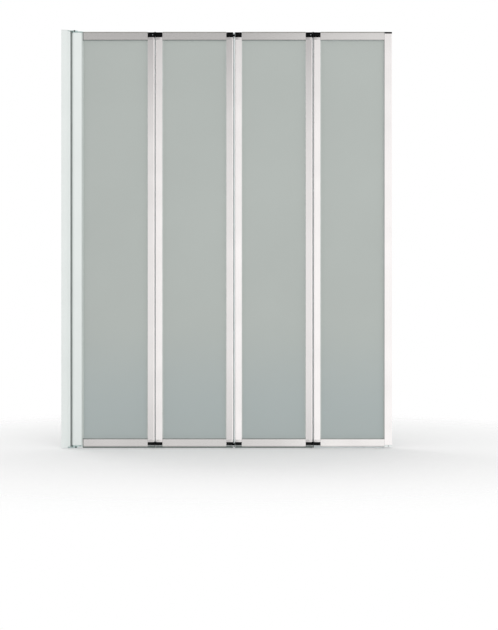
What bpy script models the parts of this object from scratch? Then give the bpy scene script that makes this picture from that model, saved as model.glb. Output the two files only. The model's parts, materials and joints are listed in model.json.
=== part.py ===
"""Folding bath screen of four framed panels on a wall channel.

World frame: X runs from the wall to the free end, -Y faces the room, +Y faces the bath, Z is up.
The origin lies on the back of the wall channel, on its centre line and at half its height.
Sizes are in metres.
"""

import math

import bmesh
import bpy
from mathutils import Vector

# Overall sizes
HEIGHT = 1.400
FIRST_SIGHT_WIDTH = 0.218
SIGHT_WIDTH = 0.2142
FRAME_DEPTH = 0.020
FACE_WIDTH = 0.0223
HINGE_FACE_WIDTH = 0.0365
END_FACE_WIDTH = 0.0256
RAIL_WIDTH = 0.0252

# Wall side
CHANNEL_REACH = 0.0225
CHANNEL_WIDTH = 0.025
CHANNEL_WALL = 0.0015
CHANNEL_WEB = 0.0016
ADJUST_ROOM = 0.0064
ADJUST_SHOWN = 0.0075
GASKET_GAP = 0.0045
GASKET_HALF_WIDTH = 0.0055
GASKET_WALL = 0.0010
SCREW_HOLE_RADIUS = 0.0025
SCREW_SLOT_TRAVEL = 0.004
SCREW_HOLE_INSET = 0.100
SCREW_HOLES = 4
CHANNEL_CAP_PLATE = 0.0012
CHANNEL_CAP_DEPTH = 0.010
BRACKET_PLATE = 0.003
BRACKET_SIDE_ROOM = 0.0015
BRACKET_PLUG_DEPTH = 0.012
PIVOT_PIN_RADIUS = 0.003
PIVOT_PIN_DEPTH = 0.013
PIVOT_HEAD_RADIUS = 0.0045
PIVOT_HEAD_HEIGHT = 0.0012
PIVOT_HEAD_ROOM = 0.0007
NOSE_BORE_RADIUS = 0.0065
SEAM_DEPTH = 0.0006
SEAM_HALF_WIDTH = 0.0005
SEAM_SETBACK = 0.0045
HINGE_CAP_PLATE = 0.004
HINGE_CAP_PLUG = 0.014

# Frame extrusions
FACE_FALL = 0.0012
FRAME_WALL = 0.0014
JOINT_CORNER_RADIUS = 0.0025
PANE_CORNER_RADIUS = 0.0006
CHAMBER_CORNER_RADIUS = 0.0008
SLOT_DEPTH = 0.0065
GROOVE_LIP = 0.0012
GROOVE_DEPTH = 0.0020
GROOVE_HALF_WIDTH = 0.0020
GROOVE_MOUTH_HALF = 0.0010
GROOVE_OFFSET = 0.005
FRAME_DROP = 0.008
FRAME_RISE = 0.0047

# Panes and their seals
PANE_THICKNESS = 0.004
PANE_CHAMFER = 0.0004
GLAZING_WALL = 0.0015
GLAZING_BASE = 0.0012
GLAZING_LIP = 0.0035
BOTTOM_SEAL_HALF_WIDTH = 0.004
BOTTOM_SEAL_BODY = 0.0016
BOTTOM_SEAL_FIN = 0.0008

# Joints between panels
FRONT_GAP = 0.0045
BACK_GAP = 0.007
FOLD_GAP = 0.002
KNUCKLE_RADIUS = 0.004
KNUCKLE_RELIEF = 0.0004
KNUCKLE_INSET = 0.0004
KNUCKLE_GAP = 0.0006
KNUCKLE_ROOT = 0.004
HINGE_PIN_RADIUS = 0.0015
HINGE_PIN_HEAD_RADIUS = 0.0026
HINGE_PIN_HEAD = 0.0010
HINGE_PIN_TAIL = 0.0010
TOP_BLOCK_ROOM = 0.0022
BOTTOM_BLOCK_RISE = 0.0095
BOTTOM_BLOCK_ROOM = 0.0024
BLOCK_PLUG_DEPTH = 0.012
JOINT_SEAL_LIP = 0.0011
JOINT_SEAL_FLANGE = 0.0008
JOINT_SEAL_FLANGE_HALF = 0.0019
JOINT_SEAL_ROOM = 0.0005
BACK_JOINT_SEAL_ROOM = 0.0025
JOINT_SEAL_RADIUS = 0.0004

# End stile caps
END_CAP_PLATE = 0.0052
END_CAP_PROUD = 0.001
END_CAP_FOOT_RISE = 0.0038
END_CAP_FOOT_PLATE = 0.0064
END_CAP_PLUG_DEPTH = 0.012
END_CORNER_RADIUS = 0.004

# Clearances and resolution
FIT = 0.0003
OVERRUN = 0.002
WELD = 0.000001
MERGE = 0.0001
CORNER_STEPS = 3
ROUND_STEPS = 24
NOSE_STEPS = 14
SMOOTH_ANGLE = math.radians(35)

# Places worked out from the sizes above
TOP = HEIGHT / 2
RIM = -HEIGHT / 2
HALF_DEPTH = FRAME_DEPTH / 2
CHANNEL_INNER_HALF = CHANNEL_WIDTH / 2 - CHANNEL_WALL
CHANNEL_TOP = TOP - CHANNEL_CAP_PLATE - FIT
ADJUST_BACK = CHANNEL_WEB + ADJUST_ROOM
ADJUST_FRONT = CHANNEL_REACH + ADJUST_SHOWN
ADJUST_HALF = CHANNEL_INNER_HALF - FIT
PIVOT_X = ADJUST_FRONT + GASKET_GAP + HALF_DEPTH
BRACKET_HALF = CHANNEL_INNER_HALF - BRACKET_SIDE_ROOM
BRACKET_OUTER = TOP - PIVOT_HEAD_ROOM - PIVOT_HEAD_HEIGHT
BRACKET_INNER = BRACKET_OUTER - BRACKET_PLATE
ADJUST_TOP = BRACKET_INNER - FIT
HINGE_CAP_TOP = BRACKET_INNER - FIT
HINGE_STILE_TOP = HINGE_CAP_TOP - HINGE_CAP_PLATE - FIT

GROOVE_BOTTOM = GROOVE_LIP + GROOVE_DEPTH
CHAMBER_START = GROOVE_BOTTOM + FRAME_WALL
PANE_HALF_DEPTH = HALF_DEPTH - FACE_FALL
# Half depths of a section at its outer edge and at its pane edge
STILE_FACES = (HALF_DEPTH, PANE_HALF_DEPTH)
RAIL_FACES = (PANE_HALF_DEPTH, PANE_HALF_DEPTH)
END_FACES = (PANE_HALF_DEPTH, HALF_DEPTH)
SLOT_HALF = PANE_THICKNESS / 2 + GLAZING_WALL + FIT + FIT
AXIS_OFFSET = (FRAME_DEPTH + FOLD_GAP) / 2
RELIEF_RADIUS = KNUCKLE_RADIUS + KNUCKLE_RELIEF

FRAME_TOP = TOP - FRAME_DROP
FRAME_FOOT = RIM + FRAME_RISE
SIGHT_TOP = FRAME_TOP - RAIL_WIDTH
SIGHT_FOOT = FRAME_FOOT + RAIL_WIDTH
TOP_BLOCK = (SIGHT_TOP + SLOT_DEPTH + TOP_BLOCK_ROOM, FRAME_TOP)
BOTTOM_BLOCK = (RIM + BOTTOM_BLOCK_RISE, SIGHT_FOOT - SLOT_DEPTH - BOTTOM_BLOCK_ROOM)
END_CAP_TOP = FRAME_TOP + END_CAP_PROUD
END_CAP_FOOT = RIM + END_CAP_FOOT_RISE

# Panels from the wall to the free end: left stile, sight width, right stile
PANEL_WIDTHS = (
    (HINGE_FACE_WIDTH, FIRST_SIGHT_WIDTH, FACE_WIDTH),
    (FACE_WIDTH, SIGHT_WIDTH, FACE_WIDTH),
    (FACE_WIDTH, SIGHT_WIDTH, FACE_WIDTH),
    (FACE_WIDTH, SIGHT_WIDTH, END_FACE_WIDTH),
)
FRONT = -1
BACK = 1
# Joints from the wall to the free end: name, gap between stiles, side of the hinge axis, seal room
JOINTS = (
    ("12", FRONT_GAP, FRONT, JOINT_SEAL_ROOM),
    ("23", BACK_GAP, BACK, BACK_JOINT_SEAL_ROOM),
    ("34", FRONT_GAP, FRONT, JOINT_SEAL_ROOM),
)

# Finishes: linear colour, roughness, metallic
FINISHES = {
    "white_powder_coat": ((0.80, 0.83, 0.81), 0.35, 0.0),
    "polished_aluminium": ((0.80, 0.79, 0.78), 0.25, 0.9),
    "frosted_pane": ((0.43, 0.47, 0.45), 0.55, 0.0),
    "black_nylon": ((0.015, 0.015, 0.017), 0.45, 0.0),
    "grey_rubber": ((0.26, 0.28, 0.27), 0.7, 0.0),
    "glazing_vinyl": ((0.48, 0.51, 0.50), 0.5, 0.0),
    "clear_vinyl": ((0.55, 0.60, 0.60), 0.3, 0.0),
    "zinc": ((0.60, 0.66, 0.65), 0.35, 0.8),
    "steel": ((0.30, 0.31, 0.32), 0.35, 0.9),
    "white_plastic": ((0.78, 0.80, 0.79), 0.4, 0.0),
}


def clear_scene():
    for obj in list(bpy.data.objects):
        bpy.data.objects.remove(obj, do_unlink=True)


def new_collection(name):
    collection = bpy.data.collections.new(name)
    bpy.context.scene.collection.children.link(collection)
    return collection


def make_materials():
    materials = {}
    for name, (colour, roughness, metallic) in FINISHES.items():
        material = bpy.data.materials.new(name)
        material.use_nodes = True
        shader = material.node_tree.nodes["Principled BSDF"]
        shader.inputs["Base Color"].default_value = (*colour, 1)
        shader.inputs["Roughness"].default_value = roughness
        shader.inputs["Metallic"].default_value = metallic
        material.diffuse_color = (*colour, 1)
        materials[name] = material
    return materials


clear_scene()
SCREEN = new_collection("folding_bath_screen")
CUTTERS = new_collection("cutters")
MATERIALS = make_materials()


def on_circle(centre, radius, angle):
    return (centre[0] + radius * math.cos(angle), centre[1] + radius * math.sin(angle))


def arc(centre, radius, start, end, steps):
    """Points of an arc, both ends included, with angles in radians."""
    turn = (end - start) / steps
    return [on_circle(centre, radius, start + turn * step) for step in range(steps + 1)]


def rounded(corners):
    """Outline of (x, y, radius) corners, each with a radius drawn as an arc."""
    outline = []
    for index, (x, y, radius) in enumerate(corners):
        if radius == 0:
            outline.append((x, y))
            continue
        here = Vector((x, y))
        before = (Vector(corners[index - 1][:2]) - here).normalized()
        after = (Vector(corners[(index + 1) % len(corners)][:2]) - here).normalized()
        half = before.angle(after) / 2
        reach = radius / math.tan(half)
        centre = here + (before + after).normalized() * radius / math.sin(half)
        first = here + before * reach - centre
        turn = first.angle_signed(here + after * reach - centre)
        start = math.atan2(first.y, first.x)
        outline += arc(centre, radius, start, start - turn, CORNER_STEPS)
    return outline


def box_outline(left, right, half, radius):
    return rounded([
        (left, -half, radius),
        (right, -half, radius),
        (right, half, radius),
        (left, half, radius),
    ])


def flipped(outline, across, along=1):
    return [(across * x, along * y) for x, y in outline]


def finish_object(name, mesh, body, place, turn, material):
    obj = bpy.data.objects.new(name, mesh)
    if material:
        mesh.materials.append(MATERIALS[material])
        SCREEN.objects.link(obj)
    else:
        CUTTERS.objects.link(obj)
        obj.hide_render = True
        obj.display_type = "WIRE"
    obj.parent = body
    obj.location = Vector(place) - BODY_PLACES[body.name]
    obj.rotation_euler = turn
    mesh.shade_smooth()
    mesh.set_sharp_from_angle(angle=SMOOTH_ANGLE)
    return obj


def extrusion(name, outlines, length, body, place, turn=(0, 0, 0), material=None):
    """Flat outline drawn out along its own Z, with every further outline as an open chamber."""
    curve = bpy.data.curves.new(name, "CURVE")
    curve.dimensions = "2D"
    curve.fill_mode = "BOTH"
    curve.extrude = length / 2
    for outline in outlines:
        spline = curve.splines.new("POLY")
        spline.points.add(len(outline) - 1)
        for point, (x, y) in zip(spline.points, outline):
            point.co = (x, y, 0, 1)
        spline.use_cyclic_u = True
    guide = bpy.data.objects.new(name, curve)
    CUTTERS.objects.link(guide)
    graph = bpy.context.evaluated_depsgraph_get()
    mesh = bpy.data.meshes.new_from_object(guide.evaluated_get(graph))
    bpy.data.objects.remove(guide)
    weld(mesh)
    return finish_object(name, mesh, body, place, turn, material)


def weld(mesh):
    shape = bmesh.new()
    shape.from_mesh(mesh)
    bmesh.ops.remove_doubles(shape, verts=shape.verts, dist=WELD)
    bmesh.ops.recalc_face_normals(shape, faces=shape.faces)
    shape.to_mesh(mesh)
    shape.free()


def box(name, size, body, place, material=None):
    mesh = bpy.data.meshes.new(name)
    shape = bmesh.new()
    bmesh.ops.create_cube(shape, size=1)
    bmesh.ops.scale(shape, vec=size, verts=shape.verts)
    shape.to_mesh(mesh)
    shape.free()
    return finish_object(name, mesh, body, place, (0, 0, 0), material)


def cylinder(name, radius, length, body, place, turn=(0, 0, 0)):
    mesh = bpy.data.meshes.new(name)
    shape = bmesh.new()
    bmesh.ops.create_cone(
        shape,
        cap_ends=True,
        segments=ROUND_STEPS,
        radius1=radius,
        radius2=radius,
        depth=length,
    )
    shape.to_mesh(mesh)
    shape.free()
    return finish_object(name, mesh, body, place, turn, None)


def turned(name, profile, body, place, turn=(0, 0, 0), material=None):
    """Profile of (radius, height) points, top to bottom, turned about its own Z."""
    mesh = bpy.data.meshes.new(name)
    edges = [(index, index + 1) for index in range(len(profile) - 1)]
    mesh.from_pydata([(radius, 0, height) for radius, height in profile], edges, [])
    obj = finish_object(name, mesh, body, place, turn, material)
    screw = obj.modifiers.new("turn", "SCREW")
    screw.steps = ROUND_STEPS
    screw.render_steps = ROUND_STEPS
    screw.use_merge_vertices = True
    screw.merge_threshold = MERGE
    screw.use_smooth_shade = True
    return obj


def combine(obj, operation, tool):
    modifier = obj.modifiers.new(tool.name, "BOOLEAN")
    modifier.operation = operation
    modifier.object = tool
    modifier.solver = "EXACT"


def chamfer(obj, width):
    modifier = obj.modifiers.new("edges", "BEVEL")
    modifier.width = width
    modifier.segments = 1
    modifier.limit_method = "ANGLE"


# Bodies, each an empty on its joint's axis
def panel_places():
    """Left edge, sight edges and right edge of every panel."""
    places = []
    left = PIVOT_X - HALF_DEPTH
    for index, (left_stile, sight, right_stile) in enumerate(PANEL_WIDTHS):
        sight_left = left + left_stile
        sight_right = sight_left + sight
        right = sight_right + right_stile
        places.append((left, sight_left, sight_right, right))
        if index < len(JOINTS):
            left = right + JOINTS[index][1]
    return places


PANELS = panel_places()
BODY_PLACES = {
    "wall_side": Vector((0, 0, 0)),
    "panel_1": Vector((PIVOT_X, 0, 0)),
}
for INDEX, (_, GAP, AXIS_SIDE, _) in enumerate(JOINTS):
    AXIS_X = PANELS[INDEX][3] + GAP / 2
    BODY_PLACES[f"panel_{INDEX + 2}"] = Vector((AXIS_X, AXIS_SIDE * AXIS_OFFSET, 0))


def make_bodies():
    bodies = {}
    parent = None
    for name, place in BODY_PLACES.items():
        empty = bpy.data.objects.new(name, None)
        SCREEN.objects.link(empty)
        empty.parent = parent
        empty.location = place - BODY_PLACES[parent.name] if parent else place
        bodies[name] = empty
        parent = empty
    return bodies


BODIES = make_bodies()


# Outlines of the extrusions
def groove_corners(edge, offset):
    """Undercut groove that holds a seal, open at the outer edge of an extrusion."""
    return [
        (edge, offset + GROOVE_MOUTH_HALF, 0),
        (edge + GROOVE_LIP, offset + GROOVE_MOUTH_HALF, 0),
        (edge + GROOVE_LIP, offset + GROOVE_HALF_WIDTH, 0),
        (edge + GROOVE_BOTTOM, offset + GROOVE_HALF_WIDTH, 0),
        (edge + GROOVE_BOTTOM, offset - GROOVE_HALF_WIDTH, 0),
        (edge + GROOVE_LIP, offset - GROOVE_HALF_WIDTH, 0),
        (edge + GROOVE_LIP, offset - GROOVE_MOUTH_HALF, 0),
        (edge, offset - GROOVE_MOUTH_HALF, 0),
    ]


def slot_corners(edge):
    """Glazing slot, open at the pane edge of an extrusion."""
    return [
        (edge, -SLOT_HALF, 0),
        (edge - SLOT_DEPTH, -SLOT_HALF, 0),
        (edge - SLOT_DEPTH, SLOT_HALF, 0),
        (edge, SLOT_HALF, 0),
    ]


def frame_outline(width, slotted, groove, radius=JOINT_CORNER_RADIUS, faces=STILE_FACES):
    """Outline of a stile, rail or block, from its outer edge at 0 to its pane edge at width."""
    outer, inner = faces
    corners = [(0, -outer, radius), (width, -inner, PANE_CORNER_RADIUS)]
    corners += slot_corners(width) if slotted else []
    corners += [(width, inner, PANE_CORNER_RADIUS), (0, outer, radius)]
    corners += groove_corners(0, groove) if groove is not None else []
    return rounded(corners)


def tapered_chamber(left, right, start, width, faces, inset):
    """Hollow from left to right, whose walls follow faces that slope from start to width."""
    outer, inner = faces
    slope = (inner - outer) / (width - start)
    left += inset
    right -= inset
    near = outer + slope * (left - start) - FRAME_WALL - inset
    far = outer + slope * (right - start) - FRAME_WALL - inset
    radius = CHAMBER_CORNER_RADIUS
    return rounded([
        (left, -near, radius),
        (right, -far, radius),
        (right, far, radius),
        (left, near, radius),
    ])


def chamber_outline(width, inset=0, faces=STILE_FACES):
    right = width - SLOT_DEPTH - FRAME_WALL
    return tapered_chamber(CHAMBER_START, right, 0, width, faces, inset)


def nose_outline(slotted):
    """Hinge stile: a nose round the pivot, a fine seam along each flank, and the glazing slot."""
    centre = (HALF_DEPTH, 0)
    seam = math.acos((HALF_DEPTH - SEAM_SETBACK) / HALF_DEPTH)
    half = SEAM_HALF_WIDTH / HALF_DEPTH
    floor = HALF_DEPTH - SEAM_DEPTH
    upper = math.pi - seam
    lower = math.pi + seam
    right = HINGE_FACE_WIDTH
    outline = arc(centre, HALF_DEPTH, math.pi / 2, upper - half, CORNER_STEPS)
    outline.append(on_circle(centre, floor, upper))
    outline += arc(centre, HALF_DEPTH, upper + half, lower - half, NOSE_STEPS)
    outline.append(on_circle(centre, floor, lower))
    outline += arc(centre, HALF_DEPTH, lower + half, math.pi * 3 / 2, CORNER_STEPS)
    edge = [(right - PANE_CORNER_RADIUS, -PANE_HALF_DEPTH), (right, PANE_CORNER_RADIUS - PANE_HALF_DEPTH)]
    outline += edge
    outline += [(x, y) for x, y, _ in slot_corners(right)] if slotted else []
    outline += flipped(edge[::-1], 1, -1)
    return outline


def nose_chamber(inset=0):
    left = HALF_DEPTH + NOSE_BORE_RADIUS + FRAME_WALL
    right = HINGE_FACE_WIDTH - SLOT_DEPTH - FRAME_WALL
    return tapered_chamber(left, right, HALF_DEPTH, HINGE_FACE_WIDTH, STILE_FACES, inset)


def anchor_corners(offset):
    """Part of a seal that sits in a groove, from its neck round its head and back."""
    neck = GROOVE_MOUTH_HALF - FIT
    head = GROOVE_HALF_WIDTH - FIT
    near = GROOVE_LIP + FIT
    far = GROOVE_BOTTOM - FIT
    return [
        (-FIT, offset - neck, 0),
        (near, offset - neck, 0),
        (near, offset - head, 0),
        (far, offset - head, 0),
        (far, offset + head, 0),
        (near, offset + head, 0),
        (near, offset + neck, 0),
        (-FIT, offset + neck, 0),
    ]


# Wall side
def wall_channel():
    inner = CHANNEL_INNER_HALF
    outer = CHANNEL_WIDTH / 2
    outline = rounded([
        (0, -outer, PANE_CORNER_RADIUS),
        (CHANNEL_REACH, -outer, PANE_CORNER_RADIUS),
        (CHANNEL_REACH, -inner, 0),
        (CHANNEL_WEB, -inner, 0),
        (CHANNEL_WEB, inner, 0),
        (CHANNEL_REACH, inner, 0),
        (CHANNEL_REACH, outer, PANE_CORNER_RADIUS),
        (0, outer, PANE_CORNER_RADIUS),
    ])
    middle = (CHANNEL_TOP + RIM) / 2
    channel = extrusion(
        "wall_channel",
        [outline],
        CHANNEL_TOP - RIM,
        BODIES["wall_side"],
        (0, 0, middle),
        material="white_powder_coat",
    )
    cutter = extrusion(
        "screw_slots",
        screw_slots(),
        CHANNEL_WEB + OVERRUN,
        BODIES["wall_side"],
        (CHANNEL_WEB / 2, 0, 0),
        turn=(0, math.pi / 2, 0),
    )
    combine(channel, "DIFFERENCE", cutter)


def screw_slots():
    """Outlines of the upright slots in the back of the channel, evenly spaced along it."""
    lowest = RIM + SCREW_HOLE_INSET
    spacing = (HEIGHT - 2 * SCREW_HOLE_INSET) / (SCREW_HOLES - 1)
    half = SCREW_SLOT_TRAVEL / 2
    steps = ROUND_STEPS // 2
    slots = []
    for index in range(SCREW_HOLES):
        level = lowest + spacing * index
        slot = arc((level + half, 0), SCREW_HOLE_RADIUS, -math.pi / 2, math.pi / 2, steps)
        slot += arc((level - half, 0), SCREW_HOLE_RADIUS, math.pi / 2, math.pi * 3 / 2, steps)
        slots.append(slot)
    return slots


def channel_cap():
    plate = box_outline(0, CHANNEL_REACH, CHANNEL_WIDTH / 2, PANE_CORNER_RADIUS)
    root = BODIES["wall_side"]
    cap = extrusion(
        "channel_cap",
        [plate],
        CHANNEL_CAP_PLATE,
        root,
        (0, 0, TOP - CHANNEL_CAP_PLATE / 2),
        material="white_plastic",
    )
    left = CHANNEL_WEB + FIT
    right = ADJUST_BACK - FIT
    length = CHANNEL_CAP_DEPTH + CHANNEL_CAP_PLATE / 2
    plug = box(
        "channel_cap_plug",
        (right - left, 2 * ADJUST_HALF, length),
        root,
        ((left + right) / 2, 0, TOP - CHANNEL_CAP_PLATE / 2 - length / 2),
    )
    combine(cap, "UNION", plug)


def adjusting_outlines():
    chamfered = GROOVE_LIP
    front = [(ADJUST_FRONT - x, y, r) for x, y, r in reversed(groove_corners(0, 0))]
    outline = rounded([
        (ADJUST_BACK, -ADJUST_HALF, 0),
        (ADJUST_FRONT - chamfered, -ADJUST_HALF, 0),
        (ADJUST_FRONT, -ADJUST_HALF + chamfered, 0),
        *front,
        (ADJUST_FRONT, ADJUST_HALF - chamfered, 0),
        (ADJUST_FRONT - chamfered, ADJUST_HALF, 0),
        (ADJUST_BACK, ADJUST_HALF, 0),
    ])
    return outline, adjusting_chamber()


def adjusting_chamber(inset=0):
    return box_outline(
        ADJUST_BACK + FRAME_WALL + inset,
        ADJUST_FRONT - CHAMBER_START - inset,
        ADJUST_HALF - FRAME_WALL - inset,
        CHAMBER_CORNER_RADIUS,
    )


def adjusting_profile():
    extrusion(
        "adjusting_profile",
        adjusting_outlines(),
        2 * ADJUST_TOP,
        BODIES["wall_side"],
        (0, 0, 0),
        material="white_powder_coat",
    )


def wall_gasket():
    """Hollow bulb between the adjusting profile and the nose of the hinge stile."""
    front = GASKET_GAP - FIT
    half = GASKET_HALF_WIDTH
    radius = GASKET_WALL + CHAMBER_CORNER_RADIUS
    bulb = [
        (FIT, half, 0),
        (front, half, radius),
        (front, -half, radius),
        (FIT, -half, 0),
    ]
    anchor = [(-x, y, r) for x, y, r in anchor_corners(0)]
    outline = rounded(bulb + anchor)
    hollow = box_outline(
        FIT + GASKET_WALL, front - GASKET_WALL, half - GASKET_WALL, CHAMBER_CORNER_RADIUS
    )
    extrusion(
        "wall_gasket",
        [outline, hollow],
        2 * ADJUST_TOP,
        BODIES["wall_side"],
        (ADJUST_FRONT, 0, 0),
        material="grey_rubber",
    )


def pivot_bracket(name, side):
    """Arm that reaches out of the channel and carries the pivot pin of the first panel."""
    root = BODIES["wall_side"]
    turn = (0, 0, 0) if side > 0 else (math.pi, 0, 0)
    arm = [(ADJUST_BACK, BRACKET_HALF), (ADJUST_BACK, -BRACKET_HALF)]
    arm += arc((PIVOT_X, 0), BRACKET_HALF, -math.pi / 2, math.pi / 2, ROUND_STEPS // 2)
    bracket = extrusion(
        name,
        [arm],
        BRACKET_PLATE,
        root,
        (0, 0, side * (BRACKET_INNER + BRACKET_OUTER) / 2),
        material="zinc",
    )
    length = BRACKET_PLUG_DEPTH + BRACKET_PLATE / 2
    plug = extrusion(
        name + "_plug",
        [adjusting_chamber(FIT)],
        length,
        root,
        (0, 0, side * (BRACKET_INNER + BRACKET_PLATE / 2 - length / 2)),
    )
    combine(bracket, "UNION", plug)
    head_edge = PIVOT_HEAD_HEIGHT / 2
    pin = turned(
        name + "_pin",
        [
            (0, PIVOT_HEAD_HEIGHT),
            (PIVOT_PIN_RADIUS, PIVOT_HEAD_HEIGHT),
            (PIVOT_HEAD_RADIUS, head_edge),
            (PIVOT_HEAD_RADIUS, -head_edge),
            (PIVOT_PIN_RADIUS, -head_edge),
            (PIVOT_PIN_RADIUS, -BRACKET_PLATE - PIVOT_PIN_DEPTH),
            (0, -BRACKET_PLATE - PIVOT_PIN_DEPTH),
        ],
        root,
        (PIVOT_X, 0, side * BRACKET_OUTER),
        turn=turn,
    )
    combine(bracket, "UNION", pin)


# Panels
def stile(name, body, edge, side, groove):
    """Stile between two hinge blocks, side +1 where it lies beyond its outer edge in +X."""
    foot = BOTTOM_BLOCK[1] + FIT
    top = TOP_BLOCK[0] - FIT
    extrusion(
        name,
        [
            flipped(frame_outline(FACE_WIDTH, True, groove), side),
            flipped(chamber_outline(FACE_WIDTH), side),
        ],
        top - foot,
        body,
        (edge, 0, (top + foot) / 2),
        material="polished_aluminium",
    )


def hinge_stile(body):
    bore = arc((HALF_DEPTH, 0), NOSE_BORE_RADIUS, 0, 2 * math.pi, ROUND_STEPS)[:-1]
    extrusion(
        "panel_1_hinge_stile",
        [nose_outline(True), bore, nose_chamber()],
        2 * HINGE_STILE_TOP,
        body,
        (PIVOT_X - HALF_DEPTH, 0, 0),
        material="white_powder_coat",
    )


def hinge_cap(name, body, side):
    """End cap of the hinge stile, whose round plug is the bush of the pivot pin."""
    left = PIVOT_X - HALF_DEPTH
    cap = extrusion(
        name,
        [nose_outline(False)],
        HINGE_CAP_PLATE,
        body,
        (left, 0, side * (HINGE_CAP_TOP - HINGE_CAP_PLATE / 2)),
        material="zinc",
    )
    length = HINGE_CAP_PLUG + FIT + HINGE_CAP_PLATE / 2
    level = side * (HINGE_CAP_TOP - HINGE_CAP_PLATE / 2 - length / 2)
    bush = cylinder(name + "_bush", NOSE_BORE_RADIUS - FIT, length, body, (PIVOT_X, 0, level))
    plug = extrusion(name + "_plug", [nose_chamber(FIT)], length, body, (left, 0, level))
    combine(cap, "UNION", bush)
    combine(cap, "UNION", plug)
    drill_length = HINGE_CAP_PLATE + HINGE_CAP_PLUG + FIT + 2 * OVERRUN
    drill = cylinder(
        name + "_drill",
        PIVOT_PIN_RADIUS + FIT,
        drill_length,
        body,
        (PIVOT_X, 0, side * (HINGE_CAP_TOP + OVERRUN - drill_length / 2)),
    )
    combine(cap, "DIFFERENCE", drill)


def end_outline(slotted):
    """Section of the free end, deepest at the pane and falling to its round outer edge."""
    outline = frame_outline(END_FACE_WIDTH, slotted, None, END_CORNER_RADIUS, END_FACES)
    return flipped(outline, -1)


def end_chamber(inset=0):
    return flipped(chamber_outline(END_FACE_WIDTH, inset, END_FACES), -1)


def end_stile(body, edge):
    foot = END_CAP_FOOT + END_CAP_FOOT_PLATE + FIT
    top = END_CAP_TOP - END_CAP_PLATE - FIT
    extrusion(
        "panel_4_end_stile",
        [end_outline(True), end_chamber()],
        top - foot,
        body,
        (edge, 0, (top + foot) / 2),
        material="polished_aluminium",
    )
    end_cap("end_cap_top", body, edge, END_CAP_TOP, END_CAP_PLATE, 1, "black_nylon")
    end_cap("end_cap_bottom", body, edge, END_CAP_FOOT, END_CAP_FOOT_PLATE, -1, "white_plastic")


def end_cap(name, body, edge, level, thickness, side, material):
    cap = extrusion(
        name,
        [end_outline(False)],
        thickness,
        body,
        (edge, 0, level - side * thickness / 2),
        material=material,
    )
    length = END_CAP_PLUG_DEPTH + thickness / 2
    plug = extrusion(
        name + "_plug",
        [end_chamber(FIT)],
        length,
        body,
        (edge, 0, level - side * (thickness / 2 + length / 2)),
    )
    combine(cap, "UNION", plug)


def rail(name, body, left, right, level, side):
    """Rail between two stiles, side +1 where it rises from its outer edge."""
    length = right - left - 2 * FIT
    groove = 0 if side > 0 else None
    extrusion(
        name,
        [
            frame_outline(RAIL_WIDTH, True, groove, faces=RAIL_FACES),
            chamber_outline(RAIL_WIDTH, faces=RAIL_FACES),
        ],
        length,
        body,
        ((left + right) / 2, 0, level),
        turn=(0, -side * math.pi / 2, 0),
        material="polished_aluminium",
    )


def pane_and_seal(number, body, left, right):
    """Frosted pane in its soft glazing channel, which runs round all four edges."""
    width = right - left
    height = SIGHT_TOP - SIGHT_FOOT
    centre = ((left + right) / 2, 0, (SIGHT_TOP + SIGHT_FOOT) / 2)
    seal_reach = 2 * (SLOT_DEPTH - FIT)
    pane_reach = 2 * (SLOT_DEPTH - FIT - GLAZING_BASE - FIT)
    pane = box(
        f"panel_{number}_pane",
        (width + pane_reach, PANE_THICKNESS, height + pane_reach),
        body,
        centre,
        material="frosted_pane",
    )
    chamfer(pane, PANE_CHAMFER)
    seal = box(
        f"panel_{number}_glazing_seal",
        (width + seal_reach, 2 * (SLOT_HALF - FIT), height + seal_reach),
        body,
        centre,
        material="glazing_vinyl",
    )
    opening = box(
        f"panel_{number}_glazing_opening",
        (width - 2 * GLAZING_LIP, 2 * SLOT_HALF, height - 2 * GLAZING_LIP),
        body,
        centre,
    )
    channel = box(
        f"panel_{number}_glazing_channel",
        (width + pane_reach + 2 * FIT, PANE_THICKNESS + 2 * FIT, height + pane_reach + 2 * FIT),
        body,
        centre,
    )
    combine(seal, "DIFFERENCE", opening)
    combine(seal, "DIFFERENCE", channel)


def bottom_seal(number, body, left, right):
    """Twin fins that wipe the rim of the bath, held in the groove of the bottom rail."""
    half = BOTTOM_SEAL_HALF_WIDTH
    fin = BOTTOM_SEAL_FIN
    floor = -FRAME_RISE
    body_foot = -FIT - BOTTOM_SEAL_BODY
    fins = [
        (-FIT, half, 0),
        (body_foot, half, 0),
        (floor, half, 0),
        (floor, half - fin, 0),
        (body_foot, half - 2 * fin, 0),
        (body_foot, -half + 2 * fin, 0),
        (floor, -half + fin, 0),
        (floor, -half, 0),
        (-FIT, -half, 0),
    ]
    extrusion(
        f"panel_{number}_bottom_seal",
        [rounded(anchor_corners(0) + fins)],
        right - left,
        body,
        ((left + right) / 2, 0, FRAME_FOOT),
        turn=(0, -math.pi / 2, 0),
        material="clear_vinyl",
    )


def panel(number):
    body = BODIES[f"panel_{number}"]
    left, sight_left, sight_right, right = PANELS[number - 1]
    seal_left = left
    seal_right = right
    if number == 1:
        hinge_stile(body)
        hinge_cap("hinge_cap_top", body, 1)
        hinge_cap("hinge_cap_bottom", body, -1)
        seal_left = sight_left + FIT
    else:
        groove = -JOINTS[number - 2][2] * GROOVE_OFFSET
        stile(f"panel_{number}_left_stile", body, left, 1, groove)
    if number == len(PANELS):
        end_stile(body, right)
        seal_right = sight_right - FIT
    else:
        stile(f"panel_{number}_right_stile", body, right, -1, None)
    rail(f"panel_{number}_top_rail", body, sight_left, sight_right, FRAME_TOP, -1)
    rail(f"panel_{number}_bottom_rail", body, sight_left, sight_right, FRAME_FOOT, 1)
    pane_and_seal(number, body, sight_left, sight_right)
    bottom_seal(number, body, seal_left, seal_right)


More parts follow.
